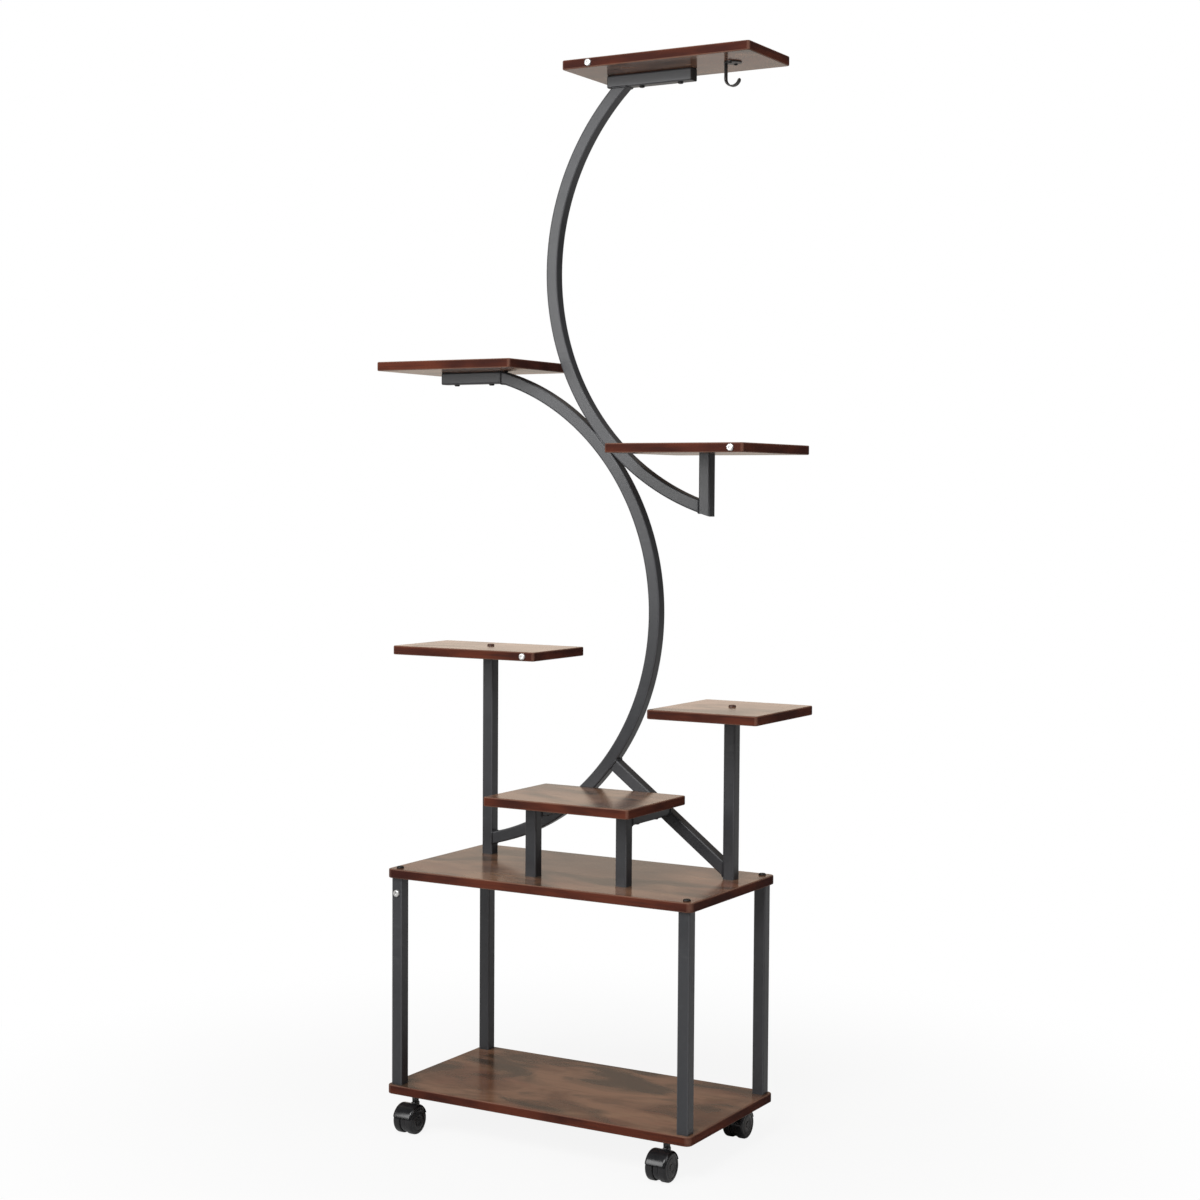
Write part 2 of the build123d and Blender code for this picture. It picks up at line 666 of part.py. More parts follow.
def make_hook():
    plate_bottom = top_shelf_bottom - HOOK_PLATE_THICKNESS
    plate = upright_hole(hook_x, shelf_y, plate_bottom, HOOK_PLATE_RADIUS, HOOK_PLATE_THICKNESS)
    lower_rim = plate.edges().filter_by(GeomType.CIRCLE).sort_by(Axis.Z)[0]
    plate = fillet(lower_rim, HOOK_PLATE_THICKNESS / 2)
    for x, y in hook_screw_places():
        radius = HOOK_SCREW_RADIUS + SCREW_HOLE_CLEARANCE
        plate -= upright_hole(x, y, plate_bottom, radius, HOOK_PLATE_THICKNESS)
    bend_z = top_shelf_bottom - HOOK_ARM
    arm_top = plate_bottom + HOOK_PLATE_THICKNESS / 2
    strip = Rectangle(HOOK_STRIP, HOOK_STRIP_WIDTH)
    arm = Pos(-HOOK_BEND_RADIUS, 0, 0) * extrude(strip, arm_top - bend_z)
    bend = revolve(Pos(HOOK_BEND_RADIUS, 0, 0) * strip, Axis.Y, HOOK_BEND_ANGLE)
    bend = Rot(0, 180 - HOOK_BEND_ANGLE, 0) * bend
    save("plant_hook", plate + Pos(hook_x, shelf_y, bend_z) * (arm + bend))
    fastener = screw(
        HOOK_SCREW_RADIUS,
        HOOK_PLATE_THICKNESS + HOOK_SCREW_BITE,
        HOOK_SCREW_HEAD_RADIUS,
        HOOK_SCREW_HEAD_HEIGHT,
        HOOK_SCREW_RADIUS,
    )
    turned = Rot(180, 0, 0) * fastener
    save("hook_screws", *[Pos(x, y, plate_bottom) * turned for x, y in hook_screw_places()])


# Casters: the wheels of each stand ahead of its stem

def caster_stem():
    """Steel stem: pivot pin, round collar under the board, thread in the board's insert."""
    pivot_bottom = column_top - PIVOT_DEPTH
    collar_bottom = column_top + COLLAR_GAP
    pivot = upright_hole(0, 0, pivot_bottom, PIVOT_RADIUS, collar_bottom - pivot_bottom)
    collar = upright_hole(0, 0, collar_bottom, COLLAR_RADIUS, CASTER_HEIGHT - collar_bottom)
    thread = upright_hole(0, 0, CASTER_HEIGHT, STEM_RADIUS, STEM_LENGTH)
    return pivot + collar + thread


def insert_nut():
    """Threaded bush in the lower deck."""
    body = upright_hole(0, 0, CASTER_HEIGHT, INSERT_RADIUS, INSERT_LENGTH)
    return body - upright_hole(0, 0, CASTER_HEIGHT, STEM_RADIUS + FIT_CLEARANCE, INSERT_LENGTH)


def cross_cylinder(radius, width, middle=0.0):
    """Cylinder about the axle."""
    return Pos(middle, -CASTER_TRAIL, axle_z) * Rot(0, 90, 0) * Cylinder(radius, width)


def caster_hood():
    """Plastic body: a web between the wheels, a roof over them and the pivot's column."""
    roof_outer = cross_cylinder(hood_outer, 2 * caster_half_width)
    ends = roof_outer.edges().filter_by(GeomType.CIRCLE)
    roof_outer = fillet(ends, WHEEL_SHOULDER)
    wheel_room = 2 * (WHEEL_SIDE_GAP + WHEEL_WIDTH)
    left = cross_cylinder(WHEEL_RADIUS + HOOD_GAP, wheel_room, -caster_half_width)
    right = cross_cylinder(WHEEL_RADIUS + HOOD_GAP, wheel_room, caster_half_width)
    roof = (roof_outer - left - right) & beyond(z=axle_z + HOOD_LIP_ABOVE_AXLE)
    web = cross_cylinder(WEB_RADIUS, WEB_WIDTH)
    column_bottom = axle_z - COLUMN_DEPTH / 2
    column = Pos(0, 0, (column_bottom + column_top) / 2)
    column = column * Box(WEB_WIDTH, COLUMN_DEPTH, column_top - column_bottom)
    body = web + roof + column
    pivot_bottom = column_top - PIVOT_DEPTH
    body -= upright_hole(0, 0, pivot_bottom - AXLE_END_GAP, PIVOT_RADIUS + RUNNING_CLEARANCE, BIG)
    return body - cross_cylinder(AXLE_RADIUS + FIT_CLEARANCE, WEB_WIDTH)


def caster_axle():
    """Steel axle through the web and into both hubs."""
    return cross_cylinder(AXLE_RADIUS, 2 * (caster_half_width - WHEEL_FACE - AXLE_END_GAP))


def caster_wheel(side):
    """Cup-shaped wheel, closed on its outer face; side is -1 for left and 1 for right."""
    middle = side * (WEB_WIDTH / 2 + WHEEL_SIDE_GAP + WHEEL_WIDTH / 2)
    wheel = cross_cylinder(WHEEL_RADIUS, WHEEL_WIDTH, middle)
    rims = wheel.edges().filter_by(GeomType.CIRCLE).sort_by(Axis.X)
    outer_rim = rims[0] if side < 0 else rims[-1]
    wheel = fillet(outer_rim, WHEEL_SHOULDER)
    rims = wheel.edges().filter_by(GeomType.CIRCLE).sort_by(Axis.X)
    inner_rim = rims[-1] if side < 0 else rims[0]
    wheel = fillet(inner_rim, WHEEL_INNER_SHOULDER)
    depth = WHEEL_WIDTH - WHEEL_FACE
    cup_middle = side * (WEB_WIDTH / 2 + WHEEL_SIDE_GAP + depth / 2)
    wheel -= cross_cylinder(WHEEL_RADIUS - WHEEL_RIM, depth, cup_middle)
    wheel += cross_cylinder(WHEEL_HUB_RADIUS, depth, cup_middle)
    return wheel - cross_cylinder(AXLE_RADIUS + RUNNING_CLEARANCE, depth, cup_middle)


def make_casters():
    names = ["front_left", "front_right", "rear_left", "rear_right"]
    for name, (x, y) in zip(names, corners(caster_x, caster_y)):
        place = Pos(x, y, 0)
        save(f"caster_{name}_stem", place * caster_stem())
        save(f"caster_{name}_hood", place * caster_hood())
        save(f"caster_{name}_axle", place * caster_axle())
        save(f"caster_{name}_left_wheel", place * caster_wheel(-1))
        save(f"caster_{name}_right_wheel", place * caster_wheel(1))
    save("caster_insert_nuts", *[Pos(x, y, 0) * insert_nut() for x, y in corners(caster_x, caster_y)])


make_lower_deck()
make_upper_deck()
make_legs()
make_posts()
make_lower_arc()
make_upper_arc()
make_stub()
make_brace()
make_brackets()
make_stool()
make_top_shelf()
make_left_middle_shelf()
make_right_middle_shelf()
make_lower_left_shelf()
make_lower_right_shelf()
make_centre_shelf()
make_bright_screws()
make_hook()
make_casters()
print("origin under the footprint's middle, from the cart's middle:", round(middle_x, 3), round(middle_y, 3))
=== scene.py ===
# %% [markdown]
# # A rolling plant stand
# This file dresses a rolling plant stand: a two-board cart on casters, a frame of two bent
# square tubes welded back to back, six boards for pots and a small hook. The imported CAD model
# is the frame that everything sits on. Each visible piece is then worked out again as a clean
# surface, because a CAD mesh is made of loose flat facets, and a long gloss highlight on a
# bent tube would show every one of them.

import json
import math

import bpy
import numpy as np
from mathutils import Matrix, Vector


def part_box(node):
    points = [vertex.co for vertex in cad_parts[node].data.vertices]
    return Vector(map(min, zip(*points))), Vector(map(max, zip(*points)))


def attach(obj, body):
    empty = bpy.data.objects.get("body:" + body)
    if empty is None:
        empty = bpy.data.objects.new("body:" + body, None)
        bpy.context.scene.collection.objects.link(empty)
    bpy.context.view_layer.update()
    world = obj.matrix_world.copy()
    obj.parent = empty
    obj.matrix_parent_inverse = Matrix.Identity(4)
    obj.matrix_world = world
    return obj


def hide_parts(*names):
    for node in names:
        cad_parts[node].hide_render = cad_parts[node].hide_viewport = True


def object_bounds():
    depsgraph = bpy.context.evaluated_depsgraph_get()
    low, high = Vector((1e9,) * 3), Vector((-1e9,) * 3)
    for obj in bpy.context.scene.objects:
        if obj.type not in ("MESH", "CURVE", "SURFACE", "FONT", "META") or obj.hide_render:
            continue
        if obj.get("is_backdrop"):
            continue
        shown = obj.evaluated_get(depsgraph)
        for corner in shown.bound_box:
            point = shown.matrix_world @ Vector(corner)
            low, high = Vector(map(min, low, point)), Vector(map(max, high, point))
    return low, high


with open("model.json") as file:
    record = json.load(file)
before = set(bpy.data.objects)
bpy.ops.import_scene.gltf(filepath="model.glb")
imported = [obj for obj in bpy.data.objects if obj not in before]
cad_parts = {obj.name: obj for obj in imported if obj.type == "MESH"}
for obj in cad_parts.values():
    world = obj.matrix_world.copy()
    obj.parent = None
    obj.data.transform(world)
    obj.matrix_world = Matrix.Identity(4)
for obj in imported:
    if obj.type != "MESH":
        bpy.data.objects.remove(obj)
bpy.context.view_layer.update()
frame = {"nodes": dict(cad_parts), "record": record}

# %% [markdown]
# ## Sizes that the boxes don't tell
# Most places come straight from the CAD nodes' boxes, so a change there moves the dressing
# too. A bend's radius and centre, a rounding and a wall can't be read from a box, so they are
# written here once, in metres.

# %% Sizes
MM = 0.001
TUBE = 20 * MM
TUBE_CORNER = 2.5 * MM
BOARD_EASE = 2 * MM
DECK_CORNER = 10 * MM
SHELF_CORNER = 5 * MM
BEND_RADIUS = 400 * MM
LOWER_BEND = (-278.438 * MM, 845.511 * MM)
UPPER_BEND = (324.720 * MM, 1400.143 * MM)
TOUCH_ANGLE = math.radians(42.6)
BRACE_ANGLE = math.radians(37)
BRACE_FOOT_Z = 445 * MM


def box(node):
    """Lowest and highest corner of a CAD node as arrays."""
    low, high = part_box(node)
    return np.array(low), np.array(high)


def middle(node):
    """Middle of a CAD node's box."""
    low, high = box(node)
    return (low + high) / 2


FRAME_Y = middle("left_post")[1]
print("the frame's plane is at y =", round(float(FRAME_Y), 4))

# %% [markdown]
# ## From arrays to a mesh
# Every surface below is a grid of points worked out as one numpy array. Each small square of
# the grid becomes a face, and the index of a point is its row times the row's length plus its
# column, so all faces come from array arithmetic. A closed direction joins its last row to its
# first. Whether a closed surface is inside out shows in the sign of its volume, so each one is
# measured and, if need be, turned. Edges sharper than a chosen angle are marked, so flat ends
# stay crisp under smooth shading.

# %% Grid to mesh
def grid_faces(rows, columns, close_rows=False, close_columns=True):
    """Corner indices of all squares of a grid: (r, c), (r+1, c), (r+1, c+1), (r, c+1)."""
    r = np.arange(rows if close_rows else rows - 1)[:, None]
    c = np.arange(columns if close_columns else columns - 1)[None, :]
    r1 = (r + 1) % rows
    c1 = (c + 1) % columns
    corners = (r * columns + c, r1 * columns + c, r1 * columns + c1, r * columns + c1)
    return np.stack(corners, -1).reshape(-1, 4)


def outward(points, faces):
    """The same closed surface, its faces turned over if the volume comes out negative."""
    flat = np.asarray(points, float).reshape(-1, 3)
    flat_about_middle = flat - flat.mean(0)
    volume = 0.0
    for array in faces:
        a = np.asarray(array)
        for k in range(1, a.shape[1] - 1):
            p, q, r = (flat_about_middle[a[:, j]] for j in (0, k, k + 1))
            volume += (p * np.cross(q, r)).sum()
    turned = faces if volume > 0 else [np.asarray(a)[:, ::-1] for a in faces]
    return flat, turned


def closed_tube(lines):
    """Surface through lines[step, outline point], with a flat face at both ends."""
    steps, count = lines.shape[:2]
    ring = np.arange(count)
    ends = [ring[None, ::-1], (ring + (steps - 1) * count)[None, :]]
    return outward(lines, [grid_faces(steps, count)] + ends)


def build_mesh(name, parts, crease, marks):
    """One mesh from parts of (points, list of face arrays); marks are numbers on its points."""
    points = []
    faces = []
    start = 0
    for part_points, face_arrays in parts:
        points.append(part_points)
        for array in face_arrays:
            faces.extend((np.asarray(array) + start).tolist())
        start += len(part_points)
    mesh = bpy.data.meshes.new(name)
    mesh.from_pydata(np.concatenate(points).tolist(), [], faces)
    mesh.update()
    mesh.polygons.foreach_set("use_smooth", np.ones(len(mesh.polygons), bool))
    mesh.set_sharp_from_angle(angle=math.radians(crease))
    for key, values in (marks or {}).items():
        attribute = mesh.attributes.new(key, "FLOAT", "POINT")
        attribute.data.foreach_set("value", np.ascontiguousarray(values, np.float32).ravel())
    return mesh


added = []


def add_piece(name, parts, body, slot, *nodes, crease=35.0, marks=None):
    """Object made of parts: it rides on a body, has a finish slot and stands for CAD nodes."""
    piece = bpy.data.objects.new(name, build_mesh(name, parts, crease, marks))
    bpy.context.scene.collection.objects.link(piece)
    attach(piece, body)
    if nodes:
        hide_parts(*nodes)
    added.append((piece, slot))
    return piece


def placed(part, rotation, move):
    """The same faces with every point turned, then moved."""
    points, faces = part
    return points @ np.asarray(rotation, float).T + np.asarray(move, float), faces


print("a 3 by 4 ring grid has", len(grid_faces(3, 4)), "faces")

# %% [markdown]
# ## Outlines
# A square tube and a board share one outline: a rectangle with rounded corners. Each corner
# is a quarter circle, and an extra point just before and after it keeps the smooth shading of
# the rounding off the flat side. A second array says which points lie on a corner, so that the
# coating can be worn there and a highlight painted on. A block with eased edges is the same
# outline, stacked in rows.

# %% Rounded rectangle
def rounded_rectangle(width, height, radius, steps=6, support=0.3):
    """Closed outline: corner centre + radius * (cos a, sin a), a over four quarter turns."""
    quarter = np.linspace(0, np.pi / 2, steps)
    signs = np.array([(1, 1), (-1, 1), (-1, -1), (1, -1)])
    centres = signs * np.array([width / 2 - radius, height / 2 - radius])
    turns = quarter[None, :] + np.arange(4)[:, None] * np.pi / 2
    arcs = centres[:, None, :] + radius * np.stack([np.cos(turns), np.sin(turns)], -1)
    way_in = np.stack([-np.sin(turns[:, :1]), np.cos(turns[:, :1])], -1)
    way_out = np.stack([-np.sin(turns[:, -1:]), np.cos(turns[:, -1:])], -1)
    before = arcs[:, :1, :] - radius * support * way_in
    after = arcs[:, -1:, :] + radius * support * way_out
    return np.concatenate([before, arcs, after], 1).reshape(-1, 2)


def corner_weight(steps=6):
    """0 on the flats and 1 at a corner's middle, in the outline's order of points."""
    hump = np.sin(np.linspace(0, np.pi, steps))
    return np.tile(np.concatenate([[0.0], hump, [0.0]]), 4)


def stacked(width, depth, corner, least, rows, steps=6, support=0.3):
    """ring[i] = rounded rectangle drawn in by inset[i], at height[i], for rows of the two."""
    rings = []
    for inset, height in rows:
        size = (width - 2 * inset, depth - 2 * inset)
        outline = rounded_rectangle(*size, max(corner - inset, least), steps, support)
        rings.append(np.column_stack([outline, np.full(len(outline), height)]))
    return np.array(rings)


SECTION = rounded_rectangle(TUBE, TUBE, TUBE_CORNER)
SECTION_CORNER = corner_weight()
print("the tube's outline has", len(SECTION), "points")

# %% [markdown]
# ## Straight tubes
# A tube is its outline carried along a line. Every point of the outline runs along its own
# straight line, so an end can be cut by a plane or by another tube simply by letting each line
# run on until it meets the cut. That is how a real tube is sawn and fitted before welding.

# %% Straight tubes
def straight_tube(start, direction, side, length_low, length_high):
    """start + side*u + up*v + direction*t, t from length_low to length_high for each (u, v)."""
    direction = np.asarray(direction, float)
    side = np.asarray(side, float)
    up = np.cross(direction, side)
    outline = np.asarray(start) + SECTION[:, :1] * side + SECTION[:, 1:] * up
    run = np.stack([np.broadcast_to(end, len(SECTION)) for end in (length_low, length_high)])
    return outline[None] + run[:, :, None] * direction


def tube_in_box(node):
    """Straight tube that fills an upright or level CAD node's box along its longest side."""
    low, high = box(node)
    along = int(np.argmax(high - low))
    direction = np.eye(3)[along]
    side = np.eye(3)[(along + 1) % 3]
    half = (high[along] - low[along]) / 2
    return straight_tube((low + high) / 2, direction, side, -half, half)


def add_tube(node, lines):
    """Coated tube that stands for a CAD node; its corners are marked for wear and a painted highlight.
    """
    marks = {"corner": np.broadcast_to(SECTION_CORNER, lines.shape[:2])}
    add_piece(node + "_tube", [closed_tube(lines)], "stand", "tube", node, marks=marks)


CORNERS = ["front_left", "front_right", "rear_left", "rear_right"]
LEGS = [f"{corner}_leg" for corner in CORNERS]
STRAIGHT = LEGS + [
    "left_post", "right_post", "left_bracket", "top_bracket",
    "stool_left_leg", "stool_right_leg", "stool_left_bar", "stool_right_bar",
]
for node in STRAIGHT:
    add_tube(node, tube_in_box(node))
print("straight tubes", len(STRAIGHT))

# %% [markdown]
# ## The two bends
# Each bend is an arc of a circle of 400 mm. A point of the outline that lies dr outside the
# centreline runs on a circle of radius 400 + dr. The foot of the lower bend stops at the left
# post's face, its top end at the bracket's end. The upper bend is cut flat under the top
# bracket, and its lower end stops at the stub. Pieces swept along a curve in Blender's own way
# would have square ends, which these don't, so the ends are worked out per line.

# %% Bent tubes
def bent_tube(centre, start, stop, steps=120):
    """centre + (r cos a, r sin a) with r = radius + dr and a from start(r) to stop(r)."""
    radius = BEND_RADIUS + SECTION[:, 0]
    first = start(radius)
    last = stop(radius)
    share = np.linspace(0, 1, steps)[:, None]
    angle = first + (last - first) * share
    x = centre[0] + radius * np.cos(angle)
    z = centre[1] + radius * np.sin(angle)
    y = np.broadcast_to(FRAME_Y + SECTION[:, 1], x.shape)
    return np.stack([x, y, z], -1)


left_post_right = box("left_post")[1][0]
left_bracket_low, left_bracket_high = box("left_bracket")
top_bracket_low, top_bracket_high = box("top_bracket")
stub_low, stub_high = box("shelf_stub")

foot_x = left_post_right - LOWER_BEND[0]
head_x = left_bracket_high[0] - LOWER_BEND[0]
lower_lines = bent_tube(LOWER_BEND, lambda r: -np.arccos(foot_x / r), lambda r: np.arccos(head_x / r))
lower_lines[..., 2] = np.minimum(lower_lines[..., 2], left_bracket_high[2])
add_tube("lower_arc", lower_lines)

top_rise = top_bracket_low[2] - UPPER_BEND[1]
stub_reach = UPPER_BEND[0] - stub_low[0]
upper_lines = bent_tube(
    UPPER_BEND,
    lambda r: np.pi - np.arcsin(top_rise / r),
    lambda r: np.pi + np.arccos(stub_reach / r),
)
add_tube("upper_arc", upper_lines)
print("bends", len(lower_lines), "rings each")

# %% [markdown]
# ## Stub and brace
# The stub is sawn along the upper bend's outside, and the brace is mitred: upright at the
# right post and hollowed to the lower bend's outside. For each line of the brace the place
# where it meets that circle is the root of a quadratic.

# %% Stub and brace
outer = BEND_RADIUS + TUBE / 2
stub_x = (stub_low[0] + stub_high[0]) / 2
reach = stub_x + SECTION[:, 0] - UPPER_BEND[0]
cut_z = UPPER_BEND[1] - np.sqrt(outer**2 - reach**2)
add_tube("shelf_stub", straight_tube((stub_x, FRAME_Y, 0), (0, 0, 1), (1, 0, 0), cut_z, stub_high[2]))

post_face = box("right_post")[0][0]
foot = np.array([post_face, FRAME_Y, BRACE_FOOT_Z])
brace_way = np.array([-math.cos(BRACE_ANGLE), 0, math.sin(BRACE_ANGLE)])
brace_side = np.array([0, 1, 0])
origins = foot + SECTION[:, :1] * brace_side + SECTION[:, 1:] * np.cross(brace_way, brace_side)
to_post = (post_face - origins[:, 0]) / brace_way[0]
offset = origins[:, [0, 2]] - np.array(LOWER_BEND)
along = offset @ brace_way[[0, 2]]
to_bend = -along - np.sqrt(along**2 - (offset**2).sum(1) + outer**2)
brace_lines = straight_tube(foot, brace_way, brace_side, to_post, to_bend)
add_tube("right_brace", brace_lines)
print("brace length", round(float(to_bend.mean() - to_post.mean()), 4))

# %% [markdown]
# ## Weld seams
# Where a tube's end meets another tube, the welder leaves a bead of small overlapping ripples,
# which the coat then softens. A bead is a thin round section carried along the end's own
# outline, its radius rising and falling once for each ripple.

# %% Weld beads
BEAD = 1.5 * MM
BEAD_SIDES = 10
BEAD_STEP = 0.55 * MM
BEAD_SUNK = 1.2 * MM
RIPPLE = 0.22 * MM
RIPPLE_LENGTH = 2.3 * MM
SEAM_HALF = 22 * MM


def even_steps(path, closed):
    """The same path in even steps, and how far along it each point lies."""
    if closed:
        path = np.concatenate([path, path[:1]])
    length = np.concatenate([[0], np.cumsum(np.linalg.norm(np.diff(path, axis=0), axis=1))])
    count = int(length[-1] / BEAD_STEP)
    along = np.linspace(0, length[-1], count, endpoint=not closed)
    return np.stack([np.interp(along, length, path[:, k]) for k in range(3)], -1), along


def bead(path, closed=True):
    """point + radius(s) * (n cos a + b sin a), radius = bead + ripple * |sin(pi s / ripple length)|.

    An open bead also thins out towards both of its ends.
    """
    points, along = even_steps(np.asarray(path, float), closed)
    if closed:
        ahead = np.roll(points, -1, 0) - np.roll(points, 1, 0)
        away = points - points.mean(0)
    else:
        ahead = np.gradient(points, axis=0)
        away = np.broadcast_to((0, 1.0, 0), points.shape)
    ahead /= np.linalg.norm(ahead, axis=1, keepdims=True)
    away = away - (away * ahead).sum(1, keepdims=True) * ahead
    away /= np.linalg.norm(away, axis=1, keepdims=True)
    across = np.cross(ahead, away)
    radius = BEAD + RIPPLE * np.abs(np.sin(np.pi * along / RIPPLE_LENGTH))
    if not closed:
        radius = radius * np.sqrt(np.clip(1.02 - np.linspace(-1, 1, len(along)) ** 6, 0, 1))
    a = np.linspace(0, 2 * np.pi, BEAD_SIDES, endpoint=False)[None, :, None]
    spokes = np.cos(a) * away[:, None] + np.sin(a) * across[:, None]
    rings = points[:, None] + radius[:, None, None] * spokes
    if closed:
        return outward(rings, [grid_faces(*rings.shape[:2], close_rows=True)])
    return closed_tube(rings)


def seam_between_bends(side):
    """Straight line along the bends' common tangent, just under their front or back face."""
    towards = np.array([math.cos(TOUCH_ANGLE), 0, math.sin(TOUCH_ANGLE)])
    tangent = np.array([-math.sin(TOUCH_ANGLE), 0, math.cos(TOUCH_ANGLE)])
    touch = np.array([LOWER_BEND[0], FRAME_Y, LOWER_BEND[1]]) + outer * towards
    face = touch + np.array([0, side * (TUBE / 2 - BEAD_SUNK), 0])
    return face + np.linspace(-SEAM_HALF, SEAM_HALF, 30)[:, None] * tangent


bars = [tube_in_box(f"stool_{side}_bar") for side in ("left", "right")]
welded = [lower_lines, upper_lines, brace_lines] + bars
seams = [bead(lines[end]) for lines in welded for end in (0, -1)]
seams += [bead(seam_between_bends(side), closed=False) for side in (-1, 1)]
add_piece("weld_seams", seams, "stand", "tube", crease=80)
print("weld seams", len(seams))

# %% [markdown]
# ## Boards
# Each board is chipboard with a rustic printed laminate on both faces and a band round its
# edge. Its outline is a rounded rectangle. Seen in section the edge is upright with both
# rims eased, so the surface is that section carried round the outline: each ring of points is
# the outline drawn in by an amount and set at a height, and flat faces close the top and the
# bottom. The eased rim is what draws the thin light line along every board in the photograph.
# Two numbers on the points tell the finish where the band is and where the rim and the upright corners
# are painted paler: partly wear from hands, partly a painted highlight that adds to that light line.

# %% Boards
BOARD_STEPS = 9
BOARD_SUPPORT = 0.15
LEAST_CORNER = 0.6 * MM
# How strongly the upright corners are painted paler: wear and a painted highlight.
CORNER_WEAR_AND_HIGHLIGHT = 0.8


def board_section(thickness, ease, steps=5):
    """Rows of (draw-in, height, band, rim) round one edge, from the underside to the top."""
    quarter = np.linspace(0, np.pi / 2, steps)
    inset = ease - ease * np.sin(quarter)
    height = ease - ease * np.cos(quarter)
    band = np.clip(np.linspace(-0.3, 1.3, steps), 0, 1)
    rim = np.sin(np.linspace(0, np.pi, steps))
    low_rim = np.column_stack([inset, height, band, rim])
    high_rim = np.column_stack([inset, thickness - height, band, rim])[::-1]
    flat_in = [(3 * ease, 0, 0, 0), (1.3 * ease, 0, 0, 0)]
    side = [(0, 1.4 * ease, 1, 0), (0, thickness - 1.4 * ease, 1, 0)]
    flat_out = [(1.3 * ease, thickness, 0, 0), (3 * ease, thickness, 0, 0)]
    return np.concatenate([flat_in, low_rim, side, high_rim, flat_out])


def slab(low, high, corner):
    """The section carried round a board's outline, and the section itself."""
    width, depth, thickness = high - low
    section = board_section(thickness, BOARD_EASE)
    rings = stacked(width, depth, corner, LEAST_CORNER, section[:, :2], BOARD_STEPS, BOARD_SUPPORT)
    under = np.array([(low[0] + high[0]) / 2, (low[1] + high[1]) / 2, low[2]])
    return rings + under, section


SHELVES = ["top", "left_middle", "right_middle", "lower_left", "lower_right", "centre"]
BOARDS = {"upper_deck_board": DECK_CORNER, "lower_deck_board": DECK_CORNER}
BOARDS.update({f"{place}_shelf": SHELF_CORNER for place in SHELVES})
boards = []
for node, corner in BOARDS.items():
    rings, section = slab(*box(node), corner)
    shape = rings.shape[:2]
    upright = np.broadcast_to(corner_weight(BOARD_STEPS), shape) * section[:, 2:3]
    # The rim number marks where the laminate is painted paler: partly wear, partly a painted highlight
    # along the eased rims and upright corners.
    marks = {
        "band": np.broadcast_to(section[:, 2:3], shape),
        "rim": np.maximum(np.broadcast_to(section[:, 3:4], shape), CORNER_WEAR_AND_HIGHLIGHT * upright),
    }
    parts = [closed_tube(rings)]
    boards.append(add_piece(node + "_panel", parts, "stand", "board", node, crease=50, marks=marks))
print("boards", len(boards))

# %% [markdown]
# ## Turned pieces
# Screw heads, caster wheels and stems are turned shapes: a profile spun about an axis. The
# profile is a list of (distance from the axis, height) pairs, and the surface is
# (r cos a, r sin a, h). Where the distance may also change with the angle, the same surface
# makes a hexagonal socket or a cross recess. Rows on the axis are drawn together into one
# point, so no pole is left open.

# %% Turned surface
def turned(radii, heights):
    """(r cos a, r sin a, h) for radii[row, angle]; the first and last rows are single points."""
    count, segments = radii.shape
    angle = np.linspace(0, 2 * np.pi, segments, endpoint=False)
    high = np.broadcast_to(np.asarray(heights, float)[:, None], radii.shape)
    rings = np.stack([radii * np.cos(angle), radii * np.sin(angle), high], -1)
    points = np.concatenate([rings[0, :1], rings[1:-1].reshape(-1, 3), rings[-1, :1]])
    ring = np.arange(segments)
    following = (ring + 1) % segments
    squares = grid_faces(count - 2, segments) + 1
    first = np.stack([np.zeros(segments, int), 1 + following, 1 + ring], -1)
    last_start = 1 + (count - 3) * segments
    last = np.stack([np.full(segments, len(points) - 1), last_start + ring, last_start + following], -1)
    return outward(points, [squares, first, last])


def spun(profile, segments=48):
    """Turned surface whose distance from the axis is the same at every angle."""
    profile = np.asarray(profile, float)
    return turned(np.repeat(profile[:, :1], segments, 1), profile[:, 1])


def arc_points(centre, radius, start, stop, steps):
    """centre + radius * (cos a, sin a), in degrees."""
    a = np.radians(np.linspace(start, stop, steps))
    return np.column_stack([centre[0] + radius * np.cos(a), centre[1] + radius * np.sin(a)])


UPRIGHT = np.eye(3)
DOWNWARD = np.diag([1.0, -1.0, -1.0])
FORWARD = np.array([[1.0, 0, 0], [0, 0, -1.0], [0, 1.0, 0]])
ALONG_X = np.array([[0, 0, 1.0], [1.0, 0, 0], [0, 1.0, 0]])
AGAINST_X = np.diag([-1.0, -1.0, 1.0]) @ ALONG_X
print("turning helpers ready")

# %% [markdown]
# ## Screw heads
# A head is a low dome with a recess for the key. Seen from above the recess is a hexagon on
# the machine screws and a cross on the wood screws. Its outline is a distance that depends on
# the angle, and the rows between recess and rim fade from that outline to a circle, so the
# head is one closed surface with real walls in its recess.

# %% Screw heads
def recess_outline(angle, size, kind):
    """Hexagon: apothem / cos of the angle folded into a sixth; cross: outside of two bars."""
    if kind == "hexagon":
        sixth = np.pi / 3
        folded = (angle + sixth / 2) % sixth - sixth / 2
        return size * math.cos(sixth / 2) / np.cos(folded)
    cosine = np.maximum(np.abs(np.cos(angle)), 1e-6)
    sine = np.maximum(np.abs(np.sin(angle)), 1e-6)
    bar = 0.3 * size
    return np.maximum(np.minimum(size / cosine, bar / sine), np.minimum(size / sine, bar / cosine))


